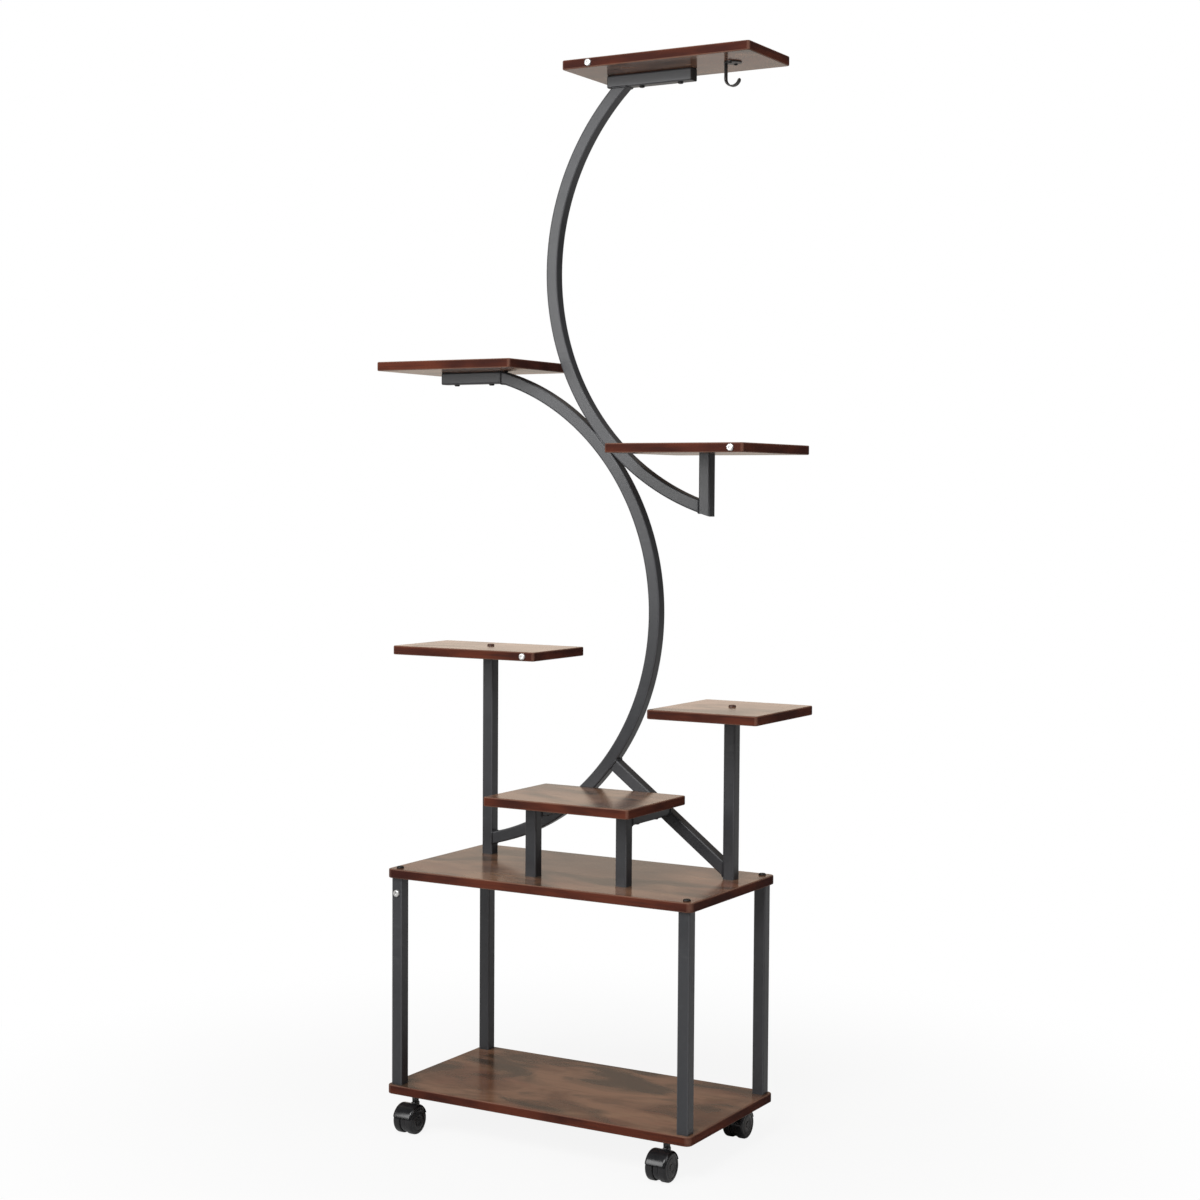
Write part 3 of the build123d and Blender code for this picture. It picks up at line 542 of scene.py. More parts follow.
def screw_head(radius, height, size, kind, segments=96):
    """Rows from the recess's floor up its wall, over the dome, down the side and along the shank."""
    angle = np.linspace(0, 2 * np.pi, segments, endpoint=False)
    recess = recess_outline(angle, size, kind)
    mouth = 1.04 * recess
    depth = rounding = 0.6 * height
    floor = height - depth
    crown = radius - rounding
    shank = 0.45 * radius
    rows = [(0, height - 1.05 * depth), (0.5 * recess, floor), (0.96 * recess, floor)]
    rows += [(recess, height - 0.94 * depth), (recess, height - 0.08 * depth), (mouth, height)]
    rows += [((1 - share) * mouth + share * crown, height) for share in (0.15, 0.5, 1.0)]
    for q in np.linspace(0.2, np.pi / 2, 6):
        rows.append((crown + rounding * math.sin(q), floor + rounding * math.cos(q)))
    rows += [(radius, 0.04 * height), (0.97 * radius, 0), (shank, 0), (shank, -height), (0, -height)]
    radii = np.array([np.broadcast_to(distance, segments) for distance, _ in rows])
    return turned(radii, [level for _, level in rows])


deck_low, deck_high = box("upper_deck_board")
base_low = box("lower_deck_board")[0]
FEET = ["left_post", "right_post", "stool_left_leg", "stool_right_leg"]
WOOD_SPACING = 70 * MM
EDGE_INSETS = {"top_shelf": -49 * MM, "right_middle_shelf": 21 * MM, "lower_left_shelf": 21 * MM}
LEG_SCREW_DROP = 25 * MM
HOOK_SCREW_SPACING = 20 * MM
HOOK_PLATE = 2 * MM


def on_axis(node, z):
    """Point on a node's upright middle line."""
    x, y, _ = middle(node)
    return (x, y, z)


def edge_screw_place(shelf, inset):
    """On a board's front edge, an inset from its right end, or from its left if negative."""
    low, high = box(shelf)
    x = high[0] - inset if inset > 0 else low[0] - inset
    return (x, low[1], (low[2] + high[2]) / 2)


def bracket_places(x, z):
    """Two places about x on the frame's plane."""
    return [(x + side * WOOD_SPACING / 2, FRAME_Y, z) for side in (-1, 1)]


def bar_places(node):
    """A quarter and three quarters along a stool bar, on its underside."""
    low, high = box(node)
    x = (low[0] + high[0]) / 2
    return [(x, low[1] + share * (high[1] - low[1]), low[2]) for share in (0.25, 0.75)]


inner_top = UPPER_BEND[0] - math.sqrt((BEND_RADIUS - TUBE / 2) ** 2 - top_rise**2)
top_screw_x = (inner_top + top_bracket_high[0]) / 2
hook_x, hook_y, _ = middle("plant_hook")
hook_top = box("top_shelf")[0][2]
leg_x, _, _ = middle("front_left_leg")
leg_low, leg_high = box("front_left_leg")
CARRIED = [("left_post", "lower_left"), ("right_post", "lower_right"), ("shelf_stub", "right_middle")]
centres = [on_axis(tube, box(f"{place}_shelf")[1][2]) for tube, place in CARRIED]
under_brackets = bracket_places(middle("left_bracket")[0], left_bracket_low[2])
under_brackets += bracket_places(top_screw_x, top_bracket_low[2])
under_bars = bar_places("stool_left_bar") + bar_places("stool_right_bar")
plate_z = hook_top - HOOK_PLATE
under_plate = [(hook_x, hook_y + side * HOOK_SCREW_SPACING / 2, plate_z) for side in (-1, 1)]
board_edges = [edge_screw_place(*item) for item in EDGE_INSETS.items()]
leg_side = (leg_x, leg_low[1], leg_high[2] - LEG_SCREW_DROP)

# Each kind: radius, height, size of the recess, shape of the recess.
MACHINE = (6 * MM, 3 * MM, 2.0 * MM, "hexagon")
BRIGHT = (5.8 * MM, 3.6 * MM, 2.6 * MM, "hexagon")
WOOD = (4.5 * MM, 2.6 * MM, 2.0 * MM, "cross")
SMALL = (2.8 * MM, 1.4 * MM, 1.5 * MM, "cross")
SCREWS = {
    "leg_top_screws": (MACHINE, UPRIGHT, [on_axis(leg, deck_high[2]) for leg in LEGS]),
    "leg_base_screws": (MACHINE, DOWNWARD, [on_axis(leg, base_low[2]) for leg in LEGS]),
    "post_base_screws": (MACHINE, DOWNWARD, [on_axis(node, deck_low[2]) for node in FEET]),
    "shelf_centre_screws": (MACHINE, UPRIGHT, centres),
    "bracket_screws": (WOOD, DOWNWARD, under_brackets),
    "stool_screws": (WOOD, DOWNWARD, under_bars),
    "hook_screws": (SMALL, DOWNWARD, under_plate),
    "edge_screws": (BRIGHT, FORWARD, board_edges),
    "leg_side_screw": (BRIGHT, FORWARD, [leg_side]),
}
for node, (kind, rotation, places) in SCREWS.items():
    head = screw_head(*kind)
    parts = [placed(head, rotation, place) for place in places]
    slot = "bright_screw" if kind is BRIGHT else "dark_screw"
    add_piece(node + "_heads", parts, "stand", slot, node)
print("screw groups", len(SCREWS))

# %% [markdown]
# ## End caps
# The open ends of the two brackets are closed by moulded caps: a rounded square lip that lies
# on the tube's end, with a softly rounded rim and a slightly sunken middle.

# %% End caps
CAP = 1.6 * MM
LEAST_CAP_CORNER = 0.5 * MM
# Draw-in in millimetres, and height as a share of the cap's thickness.
CAP_ROWS = [
    (0.0, 0.0), (0.0, 0.45), (0.12, 0.78), (0.4, 0.95),
    (0.8, 1.0), (1.5, 1.0), (2.2, 0.86), (4.0, 0.8),
]


def cap_part():
    """Square outline drawn in row by row: up the lip's side, over its rim and into the dish."""
    rows = [(inset * MM, share * CAP) for inset, share in CAP_ROWS]
    return closed_tube(stacked(TUBE, TUBE, TUBE_CORNER, LEAST_CAP_CORNER, rows, 8))


cap_places = [
    (AGAINST_X, (left_bracket_low[0], FRAME_Y, middle("left_bracket")[2])),
    (AGAINST_X, (top_bracket_low[0], FRAME_Y, middle("top_bracket")[2])),
    (ALONG_X, (top_bracket_high[0], FRAME_Y, middle("top_bracket")[2])),
]
parts = [placed(cap_part(), *place) for place in cap_places]
add_piece("bracket_caps", parts, "stand", "cap_plastic", "bracket_end_caps", crease=60)
print("end caps", len(cap_places))

# %% [markdown]
# ## Plant hook
# The hook is a flat steel strip, bent round in its upper part and pressed to a round plate.
# The strip's section, a rectangle with rounded corners, is carried down the arm and round the
# bend, and its width closes to a rounded tip.

# %% Hook
STRIP = 2.4 * MM
STRIP_WIDTH = 9 * MM
STRIP_CORNER = 0.9 * MM
HOOK_BEND = 12 * MM
HOOK_TURN = math.radians(175)
HOOK_ARM = 24.8 * MM
PLATE_RADIUS = 14 * MM
TIP_TURN = 0.34
TIP_LOSS = 0.985
TIP_THICKNESS = 0.35


def hook_strip():
    """Arm: straight down at x = -bend. Bend: (bend + u) * (-cos a, -sin a), a up to the turn.

    Over the tip's turn the width closes like the quarter of an ellipse.
    """
    outline = rounded_rectangle(STRIP, STRIP_WIDTH, STRIP_CORNER, 5)
    arm_z = np.linspace(HOOK_ARM - HOOK_PLATE / 2, 0, 8)[:-1]
    turn = np.linspace(0, HOOK_TURN, 60)
    level = np.concatenate([arm_z, np.zeros(len(turn))])[:, None]
    angle = np.concatenate([np.zeros(len(arm_z)), turn])[:, None]
    near_tip = np.clip((angle - HOOK_TURN + TIP_TURN) / TIP_TURN, 0, 1)
    width = np.sqrt(1 - TIP_LOSS * near_tip**2)
    radius = HOOK_BEND + outline[None, :, 0] * (TIP_THICKNESS + (1 - TIP_THICKNESS) * width)
    x = hook_x - radius * np.cos(angle)
    y = hook_y + outline[None, :, 1] * width
    z = hook_top - HOOK_ARM + level - radius * np.sin(angle)
    return closed_tube(np.stack([x, y, z], -1))


def hook_plate():
    """Round plate: flat on the board, with a rounded lower rim."""
    half = HOOK_PLATE / 2
    rim = arc_points((PLATE_RADIUS - half, half), half, 0, 90, 6)
    under = [(0.6 * PLATE_RADIUS, HOOK_PLATE), (0, HOOK_PLATE)]
    profile = np.concatenate([[(0, 0), (PLATE_RADIUS, 0)], rim, under])
    return placed(spun(profile, 72), DOWNWARD, (hook_x, hook_y, hook_top))


add_piece("hook_strip", [hook_strip(), hook_plate()], "stand", "hook_metal", "plant_hook")
print("hook hangs to z =", round(float(box("plant_hook")[0][2]), 4))

# %% [markdown]
# ## Wheels
# A caster wheel is a thin cup with its closed face outwards. The tread is slightly crowned
# and both rims are rounded, the face is dished, and a raised ring and a hub cap stand on it.
# Its profile is spun about the axle.

# %% Wheels
SHOULDER = 4.5 * MM
INNER_EASE = 2 * MM
RIM_WALL = 3.5 * MM
FACE_WALL = 3 * MM
HUB = 5 * MM
HUB_GROOVE = 7.2 * MM
GROOVE_INSET = 6 * MM
GROOVE_WIDTH = 2 * MM
GROOVE_SLOPE = 0.6 * MM
CUP_EASE = 0.8 * MM


def wheel_profile(radius, width):
    """(r, h): h runs from the inner rim at 0 to the outer face at width."""
    rim = radius - RIM_WALL
    cup = width - FACE_WALL
    back = [(0, 0.4 * MM), (HUB - 0.3 * MM, 0.4 * MM), (HUB, 0.7 * MM), (HUB, cup)]
    back += [(rim - CUP_EASE, cup), (rim, cup - CUP_EASE), (rim, 0.6 * MM), (rim + 0.5 * MM, 0)]
    low = arc_points((radius - INNER_EASE, INNER_EASE), INNER_EASE, -90, 0, 6)
    tread = [(radius, width * 0.35), (radius, width * 0.5)]
    high = arc_points((radius - SHOULDER, width - SHOULDER), SHOULDER, 0, 90, 9)
    sunk = width - 0.5 * MM
    raised = width - 0.1 * MM
    outside = radius - GROOVE_INSET
    inside = outside - GROOVE_WIDTH
    face = [(outside, width), (outside - GROOVE_SLOPE, sunk), (inside + GROOVE_SLOPE, sunk)]
    face += [(inside, raised), (HUB_GROOVE, raised), (HUB_GROOVE - GROOVE_SLOPE, sunk)]
    face += [(HUB + GROOVE_SLOPE, sunk), (HUB, width), (0.5 * HUB, width), (0, width)]
    return np.concatenate([back, low, tread, high, face])


for corner in CORNERS:
    for side, sign, turn in (("left", -1, AGAINST_X), ("right", 1, ALONG_X)):
        node = f"caster_{corner}_{side}_wheel"
        low, high = box(node)
        width = high[0] - low[0]
        wheel = spun(wheel_profile((high[2] - low[2]) / 2, width), segments=96)
        inner_face = (low + high) / 2 - np.array([sign * width / 2, 0, 0])
        parts = [placed(wheel, turn, inner_face)]
        add_piece(node + "_turned", parts, f"{corner}_{side}_wheel", "wheel_plastic", node)
print("wheels", 2 * len(CORNERS))

# %% [markdown]
# ## Caster bodies
# Between and over the wheels sits one black moulding: a disc-shaped web, a roof that follows
# the wheels, and the column that turns on the stem. The roof's section is worked out across
# the caster, from one thin edge over both shoulders to the other, and carried round the axle
# until it meets the level lip.

# %% Roof, web and column
ROOF_GAP = 0.6 * MM
ROOF_WALL = 1.6 * MM
ROOF_LIP = 7 * MM
WEB_RADIUS = 21 * MM
WEB_HALF = 4.3 * MM
CASTER_EASE = 0.8 * MM
COLUMN_DEPTH = 13 * MM
COLUMN_CORNER = 1.4 * MM
COLUMN_FOOT = 6.5 * MM
COLUMN_RISE = 1.6 * MM
# Distance from the axis and height above the floor, in millimetres.
STEM_PROFILE = [
    (0, 27.8), (2.2, 27.8), (2.6, 28.2), (2.6, 47.9), (4.8, 47.9), (5.4, 48.5), (5.4, 50.2), (5.0, 50.6),
    (5.0, 51.0), (5.4, 51.4), (5.4, 57.6), (5.0, 58.0), (4.0, 58.0), (4.0, 68.5), (3.5, 69.0), (0, 69.0),
]


def roof_part(half_width, wheel_radius):
    """Section (x, r) carried over angles a whose r sin a is at least the lip's height."""
    inner = wheel_radius + ROOF_GAP
    centre = (half_width - SHOULDER, inner + ROOF_WALL - SHOULDER)
    thin_edge = math.degrees(math.asin((SHOULDER - ROOF_WALL) / SHOULDER))
    right = arc_points(centre, SHOULDER, 90, thin_edge, 8)
    left = right[::-1] * (-1, 1)
    fillet = arc_points((WEB_HALF + CASTER_EASE, inner - CASTER_EASE), CASTER_EASE, 90, 180, 4)
    inside_right = np.concatenate([fillet, [(WEB_HALF, inner - 3 * MM)]])
    inside_left = inside_right[::-1] * (-1, 1)
    section = np.concatenate([left, right, inside_right, inside_left])
    start = np.arcsin(ROOF_LIP / section[:, 1])
    angle = start + (np.pi - 2 * start) * np.linspace(0, 1, 48)[:, None]
    x = np.broadcast_to(section[:, 0], angle.shape)
    return closed_tube(np.stack([x, section[:, 1] * np.cos(angle), section[:, 1] * np.sin(angle)], -1))


def web_part():
    """Disc about the axle with rounded rims."""
    r = WEB_RADIUS - CASTER_EASE
    h = WEB_HALF - CASTER_EASE
    low = arc_points((r, -h), CASTER_EASE, -90, 0, 5)
    high = arc_points((r, h), CASTER_EASE, 0, 90, 5)
    return spun(np.concatenate([[(0, -WEB_HALF)], low, high, [(0, WEB_HALF)]]), 72)


def column_part(bottom, top):
    """Upright block with rounded corners and an eased top."""
    rows = [(0, bottom), (0, top - 0.8 * MM), (0.25 * MM, top - 0.25 * MM), (0.8 * MM, top)]
    return closed_tube(stacked(2 * WEB_HALF, COLUMN_DEPTH, COLUMN_CORNER, COLUMN_CORNER, rows))


for corner in CORNERS:
    left_low, _ = box(f"caster_{corner}_left_wheel")
    _, right_high = box(f"caster_{corner}_right_wheel")
    axle = (left_low + right_high) / 2
    half_width = (right_high[0] - left_low[0]) / 2
    wheel_radius = (right_high[2] - left_low[2]) / 2
    stem_x, stem_y, _ = middle(f"caster_{corner}_stem")
    column = column_part(wheel_radius - COLUMN_FOOT, 2 * wheel_radius + COLUMN_RISE)
    parts = [
        placed(roof_part(half_width, wheel_radius), UPRIGHT, axle),
        placed(web_part(), ALONG_X, axle),
        placed(column, UPRIGHT, (stem_x, stem_y, 0)),
    ]
    node = f"caster_{corner}_hood"
    add_piece(node + "_moulding", parts, f"{corner}_fork", "caster_plastic", node)
    node = f"caster_{corner}_stem"
    stem = placed(spun(np.array(STEM_PROFILE) * MM, 64), UPRIGHT, (stem_x, stem_y, 0))
    add_piece(node + "_turned", [stem], "stand", "steel", node)
print("caster bodies and stems", 2 * len(CORNERS))

# %% [markdown]
# ## Sums in the node tree
# A finish is a small sum: mix a brown with a darker one where a noise is high, make the gloss
# duller where the grain is. Written as nodes by hand that is a web of boxes. This class lets
# the sum be written as a Python expression instead: it holds one socket, and each operator on
# it adds the Math node that does the work. Colours must not pass through a Math node, which
# would turn them grey, so they have their own mixing helper.

# %% Wires
class Wire:
    """One output socket of a node tree. Arithmetic on it adds Math nodes."""

    def __init__(self, tree, socket):
        """Remembers the socket and the tree it is in."""
        self.tree = tree
        self.socket = socket

    def math(self, operation, *values):
        """One Math node on up to three values."""
        return self.tree.add("ShaderNodeMath", {"operation": operation}, dict(enumerate(values)))

    def __add__(self, other):
        return self.math("ADD", self, other)

    def __sub__(self, other):
        return self.math("SUBTRACT", self, other)

    def __rsub__(self, other):
        return self.math("SUBTRACT", other, self)

    def __mul__(self, other):
        return self.math("MULTIPLY", self, other)

    def larger(self, other):
        """The greater of the two."""
        return self.math("MAXIMUM", self, other)

    def between(self, low, high):
        """0 below low, 1 above high, smooth in between."""
        values = {"Value": self, "From Min": low, "From Max": high}
        return self.tree.add("ShaderNodeMapRange", {"interpolation_type": "SMOOTHSTEP"}, values)

    __radd__ = __add__
    __rmul__ = __mul__


class Tree:
    """A node tree and the one method that adds any node to it."""

    def __init__(self, node_tree):
        self.node_tree = node_tree
        self.node_tree.nodes.clear()

    def feed(self, node, values):
        """Sets or links a node's inputs, by number or by name."""
        for key, value in values.items():
            if isinstance(key, int):
                socket = node.inputs[key]
            else:
                socket = next(s for s in node.inputs if s.name == key and s.enabled)
            if isinstance(value, Wire):
                self.node_tree.links.new(value.socket, socket)
            else:
                socket.default_value = value

    def add(self, kind, settings=None, values=None, output=0):
        """Any node: its settings first, then its inputs; gives one of its outputs."""
        node = self.node_tree.nodes.new(kind)
        for key, value in (settings or {}).items():
            if key == "stops":
                ramp = node.color_ramp
                while len(ramp.elements) < len(value):
                    ramp.elements.new(0.5)
                for element, (position, colour) in zip(ramp.elements, value):
                    element.position = position
                    element.color = (*colour, 1)
            else:
                setattr(node, key, value)
        self.feed(node, values or {})
        outputs = [s for s in node.outputs if s.enabled]
        return Wire(self, outputs[output]) if outputs else node

    def place(self, scale=(1, 1, 1), shift=(0, 0, 0)):
        """Object coordinates, stretched and shifted."""
        where = self.add("ShaderNodeTexCoord", output=3)
        values = {"Vector": where, "Scale": scale, "Location": shift}
        return self.add("ShaderNodeMapping", {"vector_type": "POINT"}, values)

    def noise(self, where, detail=4.0, roughness=0.55, distortion=0.0):
        """Fractal noise; its grain comes from the scale of the place."""
        values = {"Vector": where, "Scale": 1.0, "Detail": detail}
        values.update({"Roughness": roughness, "Distortion": distortion})
        return self.add("ShaderNodeTexNoise", {}, values)

    def mix(self, factor, first, second, blend="MIX"):
        """Colour mix; first and second are colours or wires."""
        a, b = [c if isinstance(c, Wire) else (*c, 1) for c in (first, second)]
        settings = {"data_type": "RGBA", "blend_type": blend}
        return self.add("ShaderNodeMix", settings, {"Factor": factor, "A": a, "B": b})

    def bump(self, height, strength, distance):
        """Normal tilted by a height."""
        values = {"Height": height, "Strength": strength, "Distance": distance}
        return self.add("ShaderNodeBump", {}, values)

    def attribute(self, name):
        """A number stored on the mesh's points."""
        return self.add("ShaderNodeAttribute", {"attribute_name": name}, output=2)


class Finish(Tree):
    """A material: a tree that ends in one Principled shader."""

    def __init__(self, name, constants=None):
        self.material = bpy.data.materials.new(name)
        self.material.use_nodes = True
        super().__init__(self.material.node_tree)
        self.shader = self.add("ShaderNodeBsdfPrincipled")
        self.surface = self.add("ShaderNodeOutputMaterial", values={0: self.shader})
        self.set(constants or {})

    def set(self, values):
        """Feeds the Principled shader."""
        self.feed(self.shader.socket.node, values)


def dress(piece, finish):
    """Gives a piece or a CAD node one finish."""
    piece.data.materials.clear()
    piece.data.materials.append(finish.material)


print("node helpers ready")

# %% [markdown]
# ## Rustic laminate
# The boards carry a printed foil that looks like old stained timber: a brown ground, long
# smoky stains that run with the grain, reddish patches and fine dark fibres, all under one
# glossy sheet. The grain is noise stretched along the board. Each board gets its own shift of
# the same pattern, as sheets cut from one roll would. The edge band is a plainer strip of a
# deeper red-brown with streaks along it, told apart by the number stored on the mesh's points,
# and the rim is painted paler where the foil folds over it: partly rubbed foil, partly a painted
# highlight along the eased rim.

# %% Laminate
GROUND = ((0.140, 0.066, 0.038), (0.245, 0.130, 0.078))
REDDISH = (0.215, 0.085, 0.052)
PALE = (0.290, 0.165, 0.095)
SMOKY = (0.040, 0.030, 0.021)
STREAKED = (0.055, 0.030, 0.020)
FIBROUS = (0.030, 0.018, 0.012)
EDGE = ((0.036, 0.007, 0.0035), (0.095, 0.021, 0.009))
EDGE_STREAK = (0.022, 0.008, 0.006)
# Paler rim colour: rubbed foil and a painted highlight.
RUBBED_AND_HIGHLIGHT = (0.230, 0.120, 0.085)


def laminate(name, shift):
    """Ground, stains, red patches and fibres on the faces; a darker streaky band on the edge."""
    f = Finish(name, {"IOR": 1.32})
    x, y, z = shift
    broad = f.noise(f.place((4.0, 8.0, 4.0), (x, y, z)), 5.0, 0.6, 1.2)
    smoke = f.noise(f.place((6.5, 12.0, 5.0), (y, x, z)), 3.0, 0.5, 0.9)
    patch = f.noise(f.place((5.0, 8.0, 4.0), (x + 7, y, z)), 3.0, 0.5, 0.4)
    pale = f.noise(f.place((5.5, 10.0, 4.0), (z, x, y)), 3.0, 0.5, 0.7)
    fibre = f.noise(f.place((10.0, 300.0, 200.0), (x, y, z)), 3.0, 0.6)
    coarse = f.noise(f.place((6.0, 70.0, 40.0), (x, y, z)), 3.0, 0.6, 0.5)
    face = f.mix(broad.between(0.36, 0.64), *GROUND)
    layers = [
        (patch.between(0.50, 0.70) * 0.65, REDDISH),
        (pale.between(0.52, 0.74) * 0.65, PALE),
        (smoke.between(0.46, 0.68) * 0.85, SMOKY),
        (coarse.between(0.54, 0.74) * 0.22, STREAKED),
        (fibre.between(0.58, 0.72) * 0.30, FIBROUS),
    ]
    for cover, tint in layers:
        face = f.mix(cover, face, tint)
    streak = f.noise(f.place((7.0, 7.0, 330.0), (x, y, z)), 4.0, 0.6)
    tone = f.noise(f.place((8.0, 8.0, 30.0), (y, x, z)), 3.0, 0.5)
    edge = f.mix(tone.between(0.35, 0.68), *EDGE)
    edge = f.mix(streak.between(0.52, 0.70) * 0.55, edge, EDGE_STREAK)
    band = f.attribute("band")
    rim = f.attribute("rim")
    # Painted highlight: the rim is lightened, partly as rubbed foil and partly as a painted light line
    # along the eased rim.
    rub_and_highlight = rim * (0.25 + 0.5 * fibre)
    colour = f.mix(rub_and_highlight, f.mix(band, face, edge), RUBBED_AND_HIGHLIGHT)
    wave = f.noise(f.place((30.0, 30.0, 30.0), (x, y, z)), 2.0, 0.5)
    rough = 0.10 + 0.10 * smoke + 0.06 * fibre + 0.70 * band + 0.10 * rim
    relief = 0.7 * fibre + 0.3 * wave
    f.set({"Base Color": colour, "Roughness": rough, "Normal": f.bump(relief, 0.10, 0.0002)})
    return f


rng = np.random.default_rng(4)
for piece in boards:
    shift = tuple(float(v) for v in rng.uniform(-9, 9, 3).round(2))
    dress(piece, laminate(piece.name + "_laminate", shift))
print("laminates", len(boards))

# %% [markdown]
# ## Powder coat
# The tubes are coated in a fine satin charcoal powder. Baked powder keeps a faint orange
# peel, and it thins on sharp corners. The corners are painted lighter, partly as that thin coat
# and partly as a painted highlight along the rounded edge. The corner weight is a number stored
# on the tube's points.

# %% Powder coat
CHARCOAL = ((0.023, 0.024, 0.027), (0.033, 0.034, 0.038))
SCUFFED = (0.060, 0.061, 0.064)
# Lighter corner colour: thin coat and a painted highlight.
THIN_COAT_AND_HIGHLIGHT = (0.090, 0.091, 0.095)


def powder_coat():
    """Charcoal with orange peel, faint clouds, and duller corners painted lighter: thin coat and painted
    highlight.
    """
    f = Finish("charcoal_powder_coat", {"IOR": 1.5})
    cloud = f.noise(f.place((6, 6, 6)), 4.0, 0.6)
    scuff = f.noise(f.place((14, 14, 40)), 5.0, 0.65, 0.6)
    peel = f.noise(f.place((900, 900, 900)), 2.0, 0.5)
    grit = f.noise(f.place((260, 260, 260)), 3.0, 0.6)
    corner = f.attribute("corner")
    colour = f.mix(cloud.between(0.35, 0.65), *CHARCOAL)
    colour = f.mix(scuff.between(0.58, 0.72) * 0.35, colour, SCUFFED)
    # Painted highlight: the corners are lightened, partly as thin coat and partly as a sheen along the
    # rounded edge.
    colour = f.mix(corner * (0.45 + 0.15 * grit), colour, THIN_COAT_AND_HIGHLIGHT)
    rough = 0.27 + 0.10 * cloud + 0.08 * scuff + 0.20 * corner
    relief = f.bump(peel * (1 - corner), 0.06, 0.00015)
    f.set({"Base Color": colour, "Roughness": rough, "Normal": relief})
    return f


coat = powder_coat()
print("coat ready")

# %% [markdown]
# ## Plastics and metals
# The casters are glossy black nylon with faint flow marks from the mould. The end caps and
# hidden plugs are matt. Screws are either blackened, with a dull rough grain, or bright zinc.
# The hook is painted satin black, worn a little, and the heads on the small boards are painted
# brown to match them.

# %% Mouldings and metals
def moulding(name, colour, roughness, marks):
    """Moulded plastic: an even colour, slightly cloudy gloss and a fine skin."""
    f = Finish(name, {"IOR": 1.49})
    flow = f.noise(f.place((60, 60, 25)), 3.0, 0.6, 0.5)
    dust = f.noise(f.place((140, 140, 60)), 5.0, 0.7)
    skin = f.noise(f.place((700, 700, 700)), 2.0, 0.5)
    cloudy = f.mix(flow.between(0.3, 0.7), colour, tuple(1.6 * c for c in colour))
    f.set({
        "Base Color": f.mix(dust.between(0.56, 0.74) * 0.25, cloudy, tuple(3 * c for c in colour)),
        "Roughness": roughness + 0.12 * flow,
        "Normal": f.bump(skin, marks, 0.0001),
    })
    return f


def plated(name, colour, roughness, metal):
    """Plated or blackened steel: a metallic ground with a fine grain."""
    f = Finish(name)
    grain = f.noise(f.place((400, 400, 400)), 4.0, 0.65)
    cloud = f.noise(f.place((90, 90, 90)), 3.0, 0.5)
    f.set({
        "Base Color": f.mix(cloud.between(0.3, 0.7), tuple(0.72 * c for c in colour), colour),
        "Metallic": metal - 0.1 * grain,
        "Roughness": roughness + 0.15 * grain,
        "Normal": f.bump(grain, 0.2, 0.0001),
    })
    return f


nylon = moulding("glossy_black_nylon", (0.009, 0.009, 0.010), 0.16, 0.08)
matt = moulding("matt_black_cap", (0.014, 0.014, 0.014), 0.42, 0.25)
hook_paint = moulding("satin_black_paint", (0.016, 0.015, 0.014), 0.32, 0.2)
black_screw = plated("blackened_steel", (0.035, 0.033, 0.032), 0.36, 0.75)
zinc = plated("bright_zinc", (0.86, 0.86, 0.85), 0.30, 0.9)
steel = plated("dark_plain_steel", (0.10, 0.10, 0.10), 0.34, 0.95)
brown_screw = moulding("brown_painted_head", (0.055, 0.022, 0.014), 0.30, 0.15)
hidden_board = laminate("hidden_board_laminate", (1.0, 2.0, 3.0))

BY_SLOT = {
    "board": hidden_board, "tube": coat, "caster_plastic": nylon, "wheel_plastic": nylon,
    "cap_plastic": matt, "dark_screw": black_screw, "bright_screw": zinc, "steel": steel,
    "hook_metal": hook_paint,
}
for entry in frame["record"]["subparts"]:
    dress(frame["nodes"][entry["node"]], BY_SLOT[entry["material_slot"]])
for piece, slot in added:
    if slot != "board":
        dress(piece, BY_SLOT[slot])
dress(bpy.data.objects["shelf_centre_screws_heads"], brown_screw)
print("CAD nodes dressed", len(frame["nodes"]), "pieces", len(added))

# %% [markdown]
# ## Studio
# The photograph is a cut-out on white, lit by large soft lamps. The world is white to the
# camera. To the stand it is a dim grey room whose far left side is brighter: there lies a warm
# pale band at the horizon, which the glossy board tops mirror at a grazing angle. A large soft
# lamp hangs in front, high up, so that the bends are lit more than the legs. A second one at
# the left, at the height of the bends, shows as a soft sheen on their front faces, and a weaker
# one stands to the right.

# %% World
# Brightness by direction: 0 is straight down, 0.5 is level and 1 is straight up.
BELOW_LEVEL = [(0.40, 0.80), (0.455, 0.55), (0.475, 0.32), (0.495, 0.60)]
ABOVE_LEVEL = [(0.51, 0.95), (0.545, 0.88), (0.585, 0.50), (0.64, 0.16), (0.75, 0.18), (1.0, 0.50)]
WARM_TINT = (1.32, 1.12, 0.94)
DIM_ROOM = (0.13, 0.13, 0.13)
WHITE = (1.0, 1.0, 1.0)


def studio_world():
    """White for the camera; for other rays a dim room with a pale horizon at the back left."""
    world = bpy.data.worlds.new("studio")
    bpy.context.scene.world = world
    world.use_nodes = True
    room = Tree(world.node_tree)
    way = room.add("ShaderNodeTexCoord", output=0)
    side, depth, height = [
        room.add("ShaderNodeSeparateXYZ", values={0: way}, output=axis) for axis in range(3)
    ]
    stops = [(place, (tone, tone, tone)) for place, tone in BELOW_LEVEL + ABOVE_LEVEL]
    shade = room.add("ShaderNodeValToRGB", {"stops": stops}, {0: 0.5 + 0.5 * height})
    warm = room.mix(1.0, shade, WARM_TINT, "MULTIPLY")
    back_left = depth.between(-0.15, 0.45) * (1 - side.between(-0.15, 0.35))
    seen = room.add("ShaderNodeLightPath", output=0)
    colour = room.mix(seen, room.mix(back_left, DIM_ROOM, warm), WHITE)
    light = room.add("ShaderNodeBackground", values={"Color": colour, "Strength": 1.0})
    room.add("ShaderNodeOutputWorld", values={0: light})


